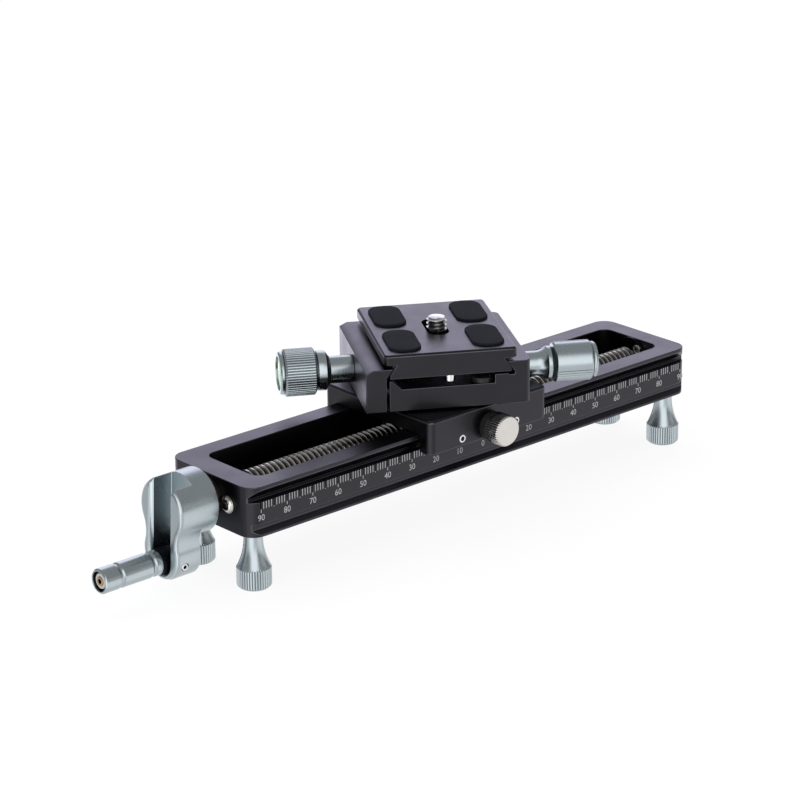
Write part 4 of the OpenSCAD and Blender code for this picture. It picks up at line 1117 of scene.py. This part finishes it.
class MACRO_RAIL_OT_bar(RailPiece, bpy.types.Operator):
    """Finish the long bar, its tripod sockets and its bearings"""

    bl_idname = "macro_rail.bar"
    bl_label = "Bar"

    def execute(self, context):
        threads = context.scene.rail_threads
        refine("rail_frame")
        dress("tripod_insert", "screw_steel")
        sockets = (
            ("tripod_thread", SOCKET_R, threads.tripod, "tripod_insert", "screw_steel"),
            ("side_thread", SIDE_SOCKET_R, threads.camera, "rail_frame", "black_edge_wear_and_highlight"),
        )
        for name, radius, pitch, node, material in sockets:
            wire = RIDGE_SHARE * pitch
            length = SOCKET_LEN * MM - 2 * wire
            ridge = grown(
                name, material, "Coil", Turns=length / pitch, Length=length,
                Radius=radius * MM - 0.02 * pitch, Wire=wire,
            )
            if name == "side_thread":
                run_tree(ridge, "Pair", Distance=2 * SIDE_SOCKET_X * MM)
            add_to(smoothed(ridge), Matrix.Translation((0, 0, wire)), node)
        turn_out(
            "crank_bearing", SCREW_LINE @ shift(z=BEARING_X),
            [(3.05, 0), (6.1, 0), (6.1, 1.5), (5.0, 1.5), (5.0, 10.0), (3.05, 10.0)],
            "bearing_bronze", ring=True,
        )
        far = SCREW_LINE @ shift(z=FAR_BEARING_X)
        cover = SCREW_LINE @ shift(z=FAR_COVER_X)
        collar("far_bearing", far, 2.05, 4.0, 0, 5.0, "brass_machined")
        collar("far_bearing_cover", cover, 2.5, 6.9, 0, 0.6, "black_turned")
        return {"FINISHED"}


class MACRO_RAIL_OT_scale(RailPiece, bpy.types.Operator):
    """Print the millimetre scale and its numbers on the front"""

    bl_idname = "macro_rail.scale"
    bl_label = "Scale"

    def execute(self, context):
        sizes = context.scene.rail_sizes
        reach = sizes.scale_reach
        rows = (
            ("tens", -reach, 10, 2 * reach // 10 + 1, 1.0),
            ("fives", 5 - reach, 10, 2 * reach // 10, 0.78),
            ("ones", -reach, 1, 2 * reach + 1, 0.68),
        )
        bars = [
            grown(
                name, "scale_paint", "Ticks", First=first * MM, Step=step * MM, Count=count,
                Width=sizes.tick_width, Length=sizes.tick * share, Thickness=PAINT_THICK * MM,
            )
            for name, first, step, count, share in rows
        ]
        lines = joined("scale_lines", bars)
        add_to(lines, shift(y=RAIL_FRONT, z=BAND_TOP), "rail_frame")
        marks = range(-reach, reach + 1, 10)
        numbers = joined(
            "scale_numbers", [self.figure(abs(m), m * MM, sizes.figure) for m in marks]
        )
        drop = BAND_TOP * MM - sizes.tick - NUMBER_GAP * MM - sizes.figure
        add_to(numbers, Matrix.Translation((0, RAIL_FRONT * MM, drop)), "rail_frame")
        return {"FINISHED"}

    def figure(self, number, x, height):
        """One number, upright in X and Z and centred on x."""
        curve = bpy.data.curves.new("figure", "FONT")
        curve.body = str(number)
        curve.size = height * FONT_RATIO
        curve.align_x = "CENTER"
        curve.extrude = PAINT_THICK / 2 * MM
        curve.resolution_u = 4
        words = linked("figure", curve)
        graph = bpy.context.evaluated_depsgraph_get()
        mesh = bpy.data.meshes.new_from_object(words.evaluated_get(graph), depsgraph=graph)
        bpy.data.objects.remove(words)
        mesh.materials.clear()
        low = min(v.co.y for v in mesh.vertices)
        high = max(v.co.y for v in mesh.vertices)
        mesh.transform(Matrix.Translation((0, -low, 0)))
        mesh.transform(Matrix.Scale(height / (high - low), 4))
        mesh.transform(Matrix.Translation((x, 0, 0)) @ turn("X", 90))
        return new_piece("figure", mesh, look("scale_paint"))


def flare(neck, wide, rise, foot, steps):
    """Rows that open from a neck to a wide radius in one arc, from this height."""
    bend = (rise**2 + (wide - neck) ** 2) / (2 * (wide - neck))
    heights = [rise * k / steps for k in range(1, steps + 1)]
    return [(neck + bend - sqrt(bend**2 - z**2), foot + z, "sharp") for z in heights]


class MACRO_RAIL_OT_feet(RailPiece, bpy.types.Operator):
    """Turn and knurl the four feet"""

    bl_idname = "macro_rail.feet"
    bl_label = "Feet"

    def execute(self, context):
        profile = [(0, 0), (2.9, 0), (2.9, 1.6)]
        profile += flare(2.9, 5.2, 9.6, 1.6, 16)
        profile += [
            (5.35, 11.35, "knurl"), (5.35, 17.0, "knurl"), (4.55, 17.8, "knurl"),
            (3.9, 17.8), (3.7, 17.6), (0, 17.6),
        ]
        count = context.scene.rail_knobs.foot_flutes
        foot = fluted("feet", profile, "blue_turned", count, 5.35, 0.1)
        width, depth = FEET_APART
        run_tree(foot, "Copies", Columns=2, Rows=2, Width=width * MM, Depth=depth * MM)
        settle(foot, turn("X", 180), "feet")
        return {"FINISHED"}


def socket_head(name, material, radius, height, hex_radius, hex_depth, shoulder=0.0):
    """A turned screw head with a hexagonal socket, from its seat at zero up to its height."""
    profile = [(0, 0), (radius, 0)]
    if shoulder:
        profile += [
            (radius, shoulder),
            (radius * 0.86, shoulder),
            (radius * 0.78, shoulder + (height - shoulder) * 0.62),
            (radius * 0.6, height),
        ]
    else:
        profile += [(radius, height)]
    # the hex socket and its bottom are marked for painted shade
    profile += [
        (hex_radius * 1.12, height, "sharp"),
        (hex_radius, height - 0.08, "hex"),
        (hex_radius, height - hex_depth, "hex"),
        (0, height - hex_depth - 0.3, "deep"),
    ]
    head = turned(name, profile, look(material), 60, height * 0.14)
    return smoothed(head, FINE_SHARP)


class MACRO_RAIL_OT_fasteners(RailPiece, bpy.types.Operator):
    """Make the screws in the rail's ends and in the carriage's front"""

    bl_idname = "macro_rail.fasteners"
    bl_label = "Fasteners"

    def execute(self, context):
        quarter, over = turn("Z", 90), turn("X", 180)
        # node, finish, head's sizes, distance apart and place
        pairs = (
            (
                "end_screws", "screw_steel", (2.7, 1.3, 1.215, 1.0, 0.45), 18,
                shift(x=-94, z=8.6) @ turn("Y", -90) @ quarter,
            ),
            (
                "cover_screws", "screw_steel", (1.6, 0.9, 0.85, 0.5), 10.4,
                SCREW_LINE @ shift(z=FAR_COVER_X) @ turn("Z", 45) @ over,
            ),
            (
                "gib_screws", "bright_steel", (1.3, 1.6, 0.78, 1.0), 23,
                shift(x=CARRIAGE_X, y=-23.3, z=12.79) @ turn("X", 90),
            ),
            (
                "stop_screws", "bright_steel", (1.6, 2.4, 0.88, 1.2), 44,
                CLAMP @ shift(z=32.8) @ over @ quarter,
            ),
        )
        for node, material, head, apart, place in pairs:
            screw = socket_head(node + "_finish", material, *head)
            run_tree(screw, "Pair", Distance=apart * MM)
            settle(screw, place, node)
        for node in ("nut_screws", "pan_bolt"):
            dress(node, "screw_steel")
        return {"FINISHED"}


def threaded(name, material, pitch, length, crest, root, chamfer, start):
    """A length of outside thread along Z, with its start at this height."""
    piece = grown(
        name, material, "Thread", Pitch=pitch, Length=length * MM, Crest=crest * MM,
        Root=root * MM, Chamfer=chamfer * MM,
    )
    pointed_out(piece.data, WELD)
    smoothed(piece, FINE_SHARP)
    piece.data.transform(shift(z=start))
    return piece


class MACRO_RAIL_OT_lead_screw(RailPiece, bpy.types.Operator):
    """Cut the lead screw's thread and turn its ends"""

    bl_idname = "macro_rail.lead_screw"
    bl_label = "Lead screw"

    def execute(self, context):
        lead = context.scene.rail_threads.lead
        steel = look("bright_steel")
        length = LEAD_X1 - LEAD_X0
        thread = threaded(
            "lead_thread", "oiled_thread", lead, length, LEAD_CREST, LEAD_ROOT, 0.5, LEAD_X0
        )
        parts = [thread]
        collar_x = LEAD_X0 - 1
        near = [
            (0, CRANK_END_X), (3.0, CRANK_END_X), (3.0, collar_x), (5.0, collar_x),
            (5.0, LEAD_X0), (0, LEAD_X0),
        ]
        far_x = LEAD_X1 - 0.2
        far = [(0, far_x), (2.0, far_x), (2.0, FAR_END_X), (0, FAR_END_X)]
        for name, profile in (("crank_end", near), ("far_end", far)):
            parts.append(smoothed(turned(name, profile, steel)))
        settle(joined("lead_screw_finish", parts), SCREW_LINE, "lead_screw")
        return {"FINISHED"}


class MACRO_RAIL_OT_crank(RailPiece, bpy.types.Operator):
    """Finish the crank's arm, its spacer and its pins"""

    bl_idname = "macro_rail.crank"
    bl_label = "Crank"

    def execute(self, context):
        refine("crank_arm", "blue_blasted", "blue_edge_wear_and_highlight", 0.8, self.outer)
        spacer = SCREW_LINE @ shift(z=SPACER_X)
        collar("crank_spacer", spacer, 3.0, 6.1, 0, 2.65, "black_turned")
        top = PIVOT_HALF
        # the deep rows round the pin's end are marked for painted shade: a dark ring in the gap round the pin
        turn_out(
            "handle_pivot_pin", PIVOT,
            [
                (0, -top), (1.3, -top), (1.3, top - 0.6, "deep"), (1.05, top - 0.6, "deep"),
                (1.05, top - 0.1, "sharp"), (0.95, top, "sharp"), (0.72, top, "sharp"),
                (0.6, top - 0.08, "hex"), (0.6, top - 1.4, "hex"), (0, top - 1.6, "deep"),
            ],
            "bright_steel", 48, sharp=FINE_SHARP,
        )
        dress("crank_grub_screw", "screw_steel")
        return {"FINISHED"}

    def outer(self, edge):
        """Whether an edge lies on the outline of the face away from the rail."""
        face_x = min(v.co.x for v in frame["nodes"]["crank_arm"].data.vertices)
        ends = [v.co for v in edge.verts]
        middle = (ends[0] + ends[1]) / 2
        drop = min(0.0, middle.z - JOINTS["handle_fold"]["pos_m"][2])
        on_face = all(abs(end.x - face_x) < 0.02 * MM for end in ends)
        return on_face and hypot(middle.y, drop) > CRANK_SLOT_REACH * MM


def arc(radius, r, z, first, last, steps):
    """Rows along an arc about (r, z), between two slopes over the horizontal."""
    slopes = [first + (last - first) * k / steps for k in range(steps + 1)]
    return [(r + radius * cos(s), z + radius * sin(s), "sharp") for s in slopes]


class MACRO_RAIL_OT_handle(RailPiece, bpy.types.Operator):
    """Turn the folding handle and its spinning sleeve"""

    bl_idname = "macro_rail.handle"
    bl_label = "Handle"

    def execute(self, context):
        wide, end = HANDLE_R, HANDLE_END
        profile = [(0, -wide)] + arc(wide, 0, 0, -pi / 2, 0, 12)[1:]
        profile += [(wide, 4.45), (2.0, 4.45), (2.0, end), (0, end)]
        turn_out("handle_shank", HANDLE, profile, "black_turned")
        # the deep rows inside the sleeve's end are marked for painted shade
        turn_out(
            "handle_sleeve", HANDLE,
            [
                (2.05, 4.5), (3.5, 4.5), (wide, 4.9), (wide, 6.8), (3.55, 7.4), (3.55, 7.8),
                (wide, 8.5), (wide, 18.7), (3.55, 19.3), (3.55, 19.7), (wide, 20.4),
                (wide, 25.4), (3.5, 25.8), (3.15, 25.8), (3.1, 25.6, "deep"),
                (3.1, 24.1, "deep"), (2.05, 24.1),
            ],
            "blue_turned", ease=0.1, ring=True,
        )
        turn_out(
            "handle_bush", HANDLE,
            [(1.5, end), (2.4, end), (2.4, 25.05), (2.2, 25.25), (1.5, 25.25)],
            "white_nylon", ring=True,
        )
        screw = socket_head("handle_end_screw_finish", "bronze_plain", 1.48, 1.3, 0.82, 0.9)
        settle(screw, HANDLE @ shift(z=end), "handle_end_screw")
        return {"FINISHED"}


class MACRO_RAIL_OT_carriage(RailPiece, bpy.types.Operator):
    """Finish the sliding carriage, its nut and its gib"""

    bl_idname = "macro_rail.carriage"
    bl_label = "Carriage"

    def execute(self, context):
        refine("carriage_block")
        refine("drive_nut", "brass_machined", "brass_machined")
        dress("gib_strip", "brass_machined")
        turn_out(
            "pan_base", shift(x=CARRIAGE_X),
            [(0, 21.5), (22, 21.5), (22, 22), (9, 22), (9, 27.6), (0, 27.6)],
            "black_turned", 144,
        )
        return {"FINISHED"}


class MACRO_RAIL_OT_carriage_lock(RailPiece, bpy.types.Operator):
    """Turn and knurl the carriage's lock"""

    bl_idname = "macro_rail.carriage_lock"
    bl_label = "Carriage lock"

    def execute(self, context):
        profile = [
            (2.0, 2.35), (4.82, 2.35, "knurl"), (LOCK_R, 2.5, "knurl"),
            (LOCK_R, 7.6, "knurl"), (4.6, 8.1, "knurl"), (4.4, 8.1), (0, 8.06),
        ]
        count = context.scene.rail_knobs.lock_flutes
        knob = fluted("lock_knob", profile, "stainless_turned", count, LOCK_R, 0.08)
        settle(knob, LOCK, "lock_knob")
        collar("lock_washer", LOCK, 2.0, 4.6, 0.05, 2.35, "black_plastic")
        dress("lock_stud", "bright_steel")
        return {"FINISHED"}


class MACRO_RAIL_OT_clamp(RailPiece, bpy.types.Operator):
    """Finish the clamp's body and what sits in its channel"""

    bl_idname = "macro_rail.clamp"
    bl_label = "Clamp"

    def execute(self, context):
        refine("clamp_body")
        turn_out(
            "stop_button", CLAMP @ shift(x=10.4, y=-20.6),
            [(0, 28.3), (3.2, 28.3), (3.2, 30.8), (2.6, 30.8), (2.2, 30.55), (0, 30.5)],
            "black_plastic",
        )
        spring = grown(
            "return_springs_finish", "bright_steel", "Coil", Turns=6.0, Length=7.9 * MM,
            Radius=2.58 * MM, Wire=0.38 * MM,
        )
        smoothed(spring)
        spring.data.transform(shift(z=-7.5))
        run_tree(spring, "Pair", Distance=32 * MM)
        place = CLAMP @ shift(x=-19.2, z=26.23) @ turn("Y", -90) @ turn("Z", 90)
        settle(spring, place, "return_springs")
        dress("guide_pins", "bright_steel")
        dress("pan_shoe", "brass_machined")
        return {"FINISHED"}


class MACRO_RAIL_OT_jaw(RailPiece, bpy.types.Operator):
    """Finish the movable jaw"""

    bl_idname = "macro_rail.jaw"
    bl_label = "Movable jaw"

    def execute(self, context):
        refine("movable_jaw")
        return {"FINISHED"}


class MACRO_RAIL_OT_jaw_knob(RailPiece, bpy.types.Operator):
    """Turn and knurl the jaw's knob, and set the round level in its end"""

    bl_idname = "macro_rail.jaw_knob"
    bl_label = "Jaw knob and level"

    def execute(self, context):
        wide = JAW_KNOB_R
        # the deep rows in the groove before the knurl are marked for painted shade
        profile = [
            (2.5, 0.05), (4.35, 0.05), (4.35, 7.5), (5.0, 7.9), (6.35, 8.9), (6.35, 11.5),
            (5.6, 11.55, "deep"), (5.6, 12.0, "deep"), (6.8, 12.05, "knurl"),
            (wide, 12.6, "knurl"), (wide, 21.5, "knurl"), (6.9, 22.1, "knurl"),
            (6.75, 22.1), (6.7, 21.9), (5.4, 21.9), (5.4, LEVEL_AT), (2.5, LEVEL_AT),
        ]
        count = context.scene.rail_knobs.jaw_flutes
        knob = fluted("jaw_knob", profile, "blue_turned", count, wide, 0.14, True)
        settle(knob, JAW_KNOB, "jaw_knob")
        turn_out(
            "level_bezel", JAW_KNOB,
            [(5.4, 22.1), (6.6, 22.1), (6.8, 22.5), (6.8, 23.1), (6.3, 23.6), (5.4, 23.6)],
            "blue_turned", ring=True,
        )
        profile = [(0, LEVEL_AT), (LEVEL_R, LEVEL_AT), (LEVEL_R, LEVEL_RIM)]
        for slope in (k / 9 for k in range(1, 9)):
            z = LEVEL_RIM + (LEVEL_TOP - LEVEL_RIM) * (1 - (1 - slope) ** 2)
            profile.append((LEVEL_R * (1 - slope), z, "sharp"))
        profile.append((0, LEVEL_TOP))
        turn_out("level_vial", JAW_KNOB, profile, "level_liquid")
        turn_out(
            "level_bubble", JAW_KNOB @ shift(x=1.8, z=23.19),
            [(0, 0), (1.5, 0.02), (1.8, 0.1), (1.5, 0.17), (0.8, 0.19), (0, 0.2)],
            "bubble", 48,
        )
        dress("jaw_screw", "bright_steel")
        return {"FINISHED"}


class MACRO_RAIL_OT_pan_lock(RailPiece, bpy.types.Operator):
    """Turn the pan lock's knob with its ribs, and its black ring as painted shade in the groove"""

    bl_idname = "macro_rail.pan_lock"
    bl_label = "Pan lock"

    def execute(self, context):
        wide = PAN_KNOB_R
        profile = [(0, 0.05), (4.0, 0.05), (4.0, 6.9)]
        profile += flare(4.0, 5.05, 3.3, 6.9, 8)
        profile += [
            (5.3, 10.45), (5.3, 11.6), (4.8, 12.1), (4.4, 12.1), (4.4, 12.6), (5.95, 12.6),
            (wide, 13.1, "knurl"), (wide, 24.3, "knurl"), (5.95, 24.8), (5.2, 24.8),
        ]
        profile += arc(0.85, 4.95, 25.65, -pi / 2, pi / 2, 12)
        profile += [(4.3, 26.5), (4.2, 26.4), (0, 26.4)]
        pitch = 2 * pi / PAN_RIB_COUNT
        first = PAN_RIB_TURN - (PAN_RIBS - 1) * pitch / 2
        knob = fluted(
            "pan_knob", profile, "blue_turned", PAN_RIB_COUNT, wide, 0.12, turn=first,
            middle=PAN_RIB_TURN, half=pitch * PAN_RIBS / 2,
        )
        settle(knob, PAN_KNOB, "pan_knob")
        # the black ring fills the groove before the ribs, painted shade for the dark band at the knob's end face
        collar("pan_knob_ring", PAN_KNOB, 4.4, 4.9, 12.1, 12.6, "black_plastic")
        dress("pan_screw", "bright_steel")
        return {"FINISHED"}


class MACRO_RAIL_OT_plate(RailPiece, bpy.types.Operator):
    """Finish the camera plate and its rubber pads"""

    bl_idname = "macro_rail.plate"
    bl_label = "Camera plate"

    def execute(self, context):
        refine("camera_plate", share=0.7)
        rows = [(0, 0), (0, 0.45)]
        for slope in (pi / 2 * k / 6 for k in range(1, 7)):
            rows.append((0.55 * (1 - cos(slope)), 0.45 + 0.36 * sin(slope)))
        rows += [(1.2, 0.85), (2.4, 0.88), (3.6, 0.9)]
        pad = rounded_block("rubber_pads_finish", 10.2, 19.5, 4.5, rows, look("pad_rubber"))
        smoothed(pad)
        width, depth = PADS_APART
        run_tree(pad, "Copies", Columns=2, Rows=2, Width=width * MM, Depth=depth * MM)
        settle(pad, CLAMP @ shift(z=PLATE_TOP - 0.05), "rubber_pads")
        return {"FINISHED"}


class MACRO_RAIL_OT_camera_screw(RailPiece, bpy.types.Operator):
    """Cut the camera screw's thread and its slotted head"""

    bl_idname = "macro_rail.camera_screw"
    bl_label = "Camera screw"

    def execute(self, context):
        pitch = context.scene.rail_threads.camera
        steel = look("bright_steel")
        thread = threaded(
            "camera_thread", "bright_steel", pitch, CAMERA_LENGTH, CAMERA_CREST,
            CAMERA_ROOT, 0.6, PLATE_TOP,
        )
        head = turned(
            "camera_head",
            [(0, 33.2), (5.8, 33.2), (5.8, 35.8), (2.4, 35.8), (2.4, 40.6), (0, 40.6)],
            steel,
            ease=0.2,
        )
        cutter = rounded_block(
            "coin_slot", 14, 1.5, 0.05, [(0, 32.0), (0, 34.5)], steel, corner=1
        )
        slot = head.modifiers.new("Slot", "BOOLEAN")
        slot.operation = "DIFFERENCE"
        slot.solver = "EXACT"
        slot.object = cutter
        baked(head)
        bpy.data.objects.remove(cutter)
        screw = joined("camera_screw_finish", [thread, smoothed(head)])
        settle(screw, CLAMP @ shift(y=-2.0), "camera_screw")
        dress("screw_washer", "bright_steel")
        return {"FINISHED"}


# Stage

CAMERA_AT = (-610.7, -663.6, 346.9)
CAMERA_RIGHT = (0.7433, -0.6689, -0.0085)
CAMERA_UP = (0.2367, 0.2511, 0.9386)
CAMERA_BACK = (-0.6256, -0.6997, 0.3449)

# what the surfaces reflect: middle direction, light, and the cosines where it starts and is full
FLOOR_GLOWS = (
    ((-0.6256, 0.6997, -0.345), (0.8, 0.8, 0.8), 0.85, 0.97),
    ((0.6256, -0.6997, -0.345), (1.3, 1.3, 1.3), 0.8, 0.95),
    ((0.33, 0.88, -0.345), (1.6, 1.6, 1.75), 0.9, 0.98),
)
NEAR = (-0.557, -0.83, 0.0)
NEAR_LOW = (-0.82, -0.45, -0.345)
BEHIND = (0.6256, 0.6997, 0.345)
NEAR_TALL = (1.0, 1.0, 0.4)
LINE_AT = 0.02
LINE_TONE = 0.1
FLOOR_MATT = 0.16
FLOOR_WHITE = 0.9
FLOOR_PLAIN = 0.8


def grey(value):
    return (value, value, value, 1.0)


def seen(graph):
    """One for rays that show the background: camera, glossy and transmission."""
    path = graph.add("ShaderNodeLightPath").outputs
    camera, glossy, through = (
        Term(graph, path[f"Is {kind} Ray"]) for kind in ("Camera", "Glossy", "Transmission")
    )
    return graph.math("MAXIMUM", graph.math("MAXIMUM", camera, glossy), through)


def glow(graph, direction, colour, middle, light, start, stop, within=1.0):
    """The colour, changed to this light round a middle direction."""
    dot = graph.out(
        "ShaderNodeVectorMath", {0: direction, 1: middle}, "Value", operation="DOT_PRODUCT"
    )
    share = graph.between(dot, 0.0, 1.0, start, stop) * within
    return graph.blend(share, colour, tuple(light) + (1.0,))


class MACRO_RAIL_OT_stage(RailPiece, bpy.types.Operator):
    """Set the pale floor, the soft light and the camera"""

    bl_idname = "macro_rail.stage"
    bl_label = "Stage"

    def execute(self, context):
        studio = context.scene.rail_studio
        self.floor(studio)
        self.world(studio)
        self.lamp("top_lamp", (0.15, 0.55, 0.95), (1.3, 0.9), studio.top_lamp)
        self.lamp("side_lamp", (-1.0, -0.2, 0.45), (0.6, 0.6), studio.side_lamp)
        self.camera(studio)
        context.scene.view_settings.view_transform = "Standard"
        return {"FINISHED"}

    def floor(self, studio):
        """White to the camera but for the object's shadow, and plain to the light."""
        half = studio.floor / 2
        corners = ((-half, -half), (half, -half), (half, half), (-half, half))
        mesh = mesh_of("floor", [(x, y, cad_box[0][2]) for x, y in corners], [(0, 1, 2, 3)])
        material = bpy.data.materials.new("floor")
        graph = graph_of(material)
        matt = graph.out("ShaderNodeBsdfDiffuse", {"Color": grey(FLOOR_MATT)})
        white = graph.out("ShaderNodeEmission", {"Color": grey(FLOOR_WHITE), "Strength": 1.0})
        both = graph.out("ShaderNodeAddShader", {0: matt, 1: white})
        plain = graph.out("ShaderNodeBsdfDiffuse", {"Color": grey(FLOOR_PLAIN)})
        mix = graph.out("ShaderNodeMixShader", {0: seen(graph), 1: plain, 2: both})
        graph.add("ShaderNodeOutputMaterial", {"Surface": mix})
        floor = new_piece("floor", mesh, material)
        floor.visible_glossy = False

    def world(self, studio):
        """White to the camera, and soft lights over a dim room in reflections."""
        world = bpy.data.worlds.new("studio")
        bpy.context.scene.world = world
        graph = graph_of(world)
        direction = graph.out("ShaderNodeTexCoord", output="Generated")
        height = graph.split(direction)[2]
        low = graph.between(height, 1.0, 0.0, -0.02, 0.02)
        sky = graph.blend(low, grey(studio.dim), grey(studio.paper))
        for middle, light, start, stop in FLOOR_GLOWS:
            sky = glow(graph, direction, sky, middle, light, start, stop)
        # a dark line of the room above the table's edge
        off = graph.math("ABSOLUTE", height - LINE_AT)
        sky = graph.blend(graph.between(off, 0.85, 0.0, 0.03, 0.1), sky, grey(LINE_TONE))
        # the near light is tall and narrow
        squeezed = graph.out(
            "ShaderNodeVectorMath", {0: direction, 1: NEAR_TALL}, operation="MULTIPLY"
        )
        level = graph.out("ShaderNodeVectorMath", {0: squeezed}, operation="NORMALIZE")
        above = graph.between(height, 0.0, 1.0, -0.12, -0.02)
        sky = glow(graph, level, sky, NEAR, studio.near, 0.8, 0.93, above)
        sky = glow(graph, direction, sky, NEAR_LOW, studio.near, 0.85, 0.96)
        sky = glow(graph, direction, sky, BEHIND, studio.behind, 0.9, 0.98)
        camera = graph.out("ShaderNodeLightPath", output="Is Camera Ray")
        shown = graph.blend(camera, sky, grey(1.0))
        colour = graph.blend(seen(graph), grey(studio.world), shown)
        back = graph.out("ShaderNodeBackground", {"Color": colour, "Strength": 1.0})
        graph.add("ShaderNodeOutputWorld", {"Surface": back})

    def lamp(self, name, place, size, power):
        data = bpy.data.lights.new(name, "AREA")
        data.shape = "RECTANGLE"
        data.size, data.size_y = size
        data.energy = power
        lamp = linked(name, data)
        lamp.visible_glossy = False
        lamp.location = place
        lamp.rotation_euler = (-Vector(place)).to_track_quat("-Z", "Y").to_euler()

    def camera(self, studio):
        data = bpy.data.cameras.new("camera")
        data.lens = studio.lens
        data.sensor_width = 36.0
        data.clip_end = 50.0
        camera = linked("camera", data)
        axes = Matrix((CAMERA_RIGHT, CAMERA_UP, CAMERA_BACK)).transposed()
        camera.matrix_world = Matrix.Translation(Vector(CAMERA_AT) * MM) @ axes.to_4x4()
        bpy.context.scene.camera = camera


STEPS = (
    MACRO_RAIL_OT_bar,
    MACRO_RAIL_OT_scale,
    MACRO_RAIL_OT_feet,
    MACRO_RAIL_OT_fasteners,
    MACRO_RAIL_OT_lead_screw,
    MACRO_RAIL_OT_crank,
    MACRO_RAIL_OT_handle,
    MACRO_RAIL_OT_carriage,
    MACRO_RAIL_OT_carriage_lock,
    MACRO_RAIL_OT_clamp,
    MACRO_RAIL_OT_jaw,
    MACRO_RAIL_OT_jaw_knob,
    MACRO_RAIL_OT_pan_lock,
    MACRO_RAIL_OT_plate,
    MACRO_RAIL_OT_camera_screw,
    MACRO_RAIL_OT_stage,
)


class MACRO_RAIL_PT_panel(bpy.types.Panel):
    """Lists the rail's pieces and their sizes"""

    bl_idname = "MACRO_RAIL_PT_panel"
    bl_label = "Macro rail"
    bl_space_type = "VIEW_3D"
    bl_region_type = "UI"
    bl_category = "Macro rail"

    def draw(self, context):
        for step in STEPS:
            self.layout.operator(step.bl_idname)
        for name, group in GROUPS.items():
            box = self.layout.box()
            for key in group.__annotations__:
                box.prop(getattr(context.scene, name), key)


CLASSES = tuple(GROUPS.values()) + STEPS + (MACRO_RAIL_PT_panel,)


def register():
    for item in CLASSES:
        bpy.utils.register_class(item)
    for name, group in GROUPS.items():
        setattr(bpy.types.Scene, name, PointerProperty(type=group))


def unregister():
    for name in GROUPS:
        delattr(bpy.types.Scene, name)
    for item in reversed(CLASSES):
        bpy.utils.unregister_class(item)


def build():
    """Registers the add-on and makes every piece in order."""
    register()
    for step in STEPS:
        group, name = step.bl_idname.split(".")
        getattr(getattr(bpy.ops, group), name)()


if __name__ == "__main__":
    build()
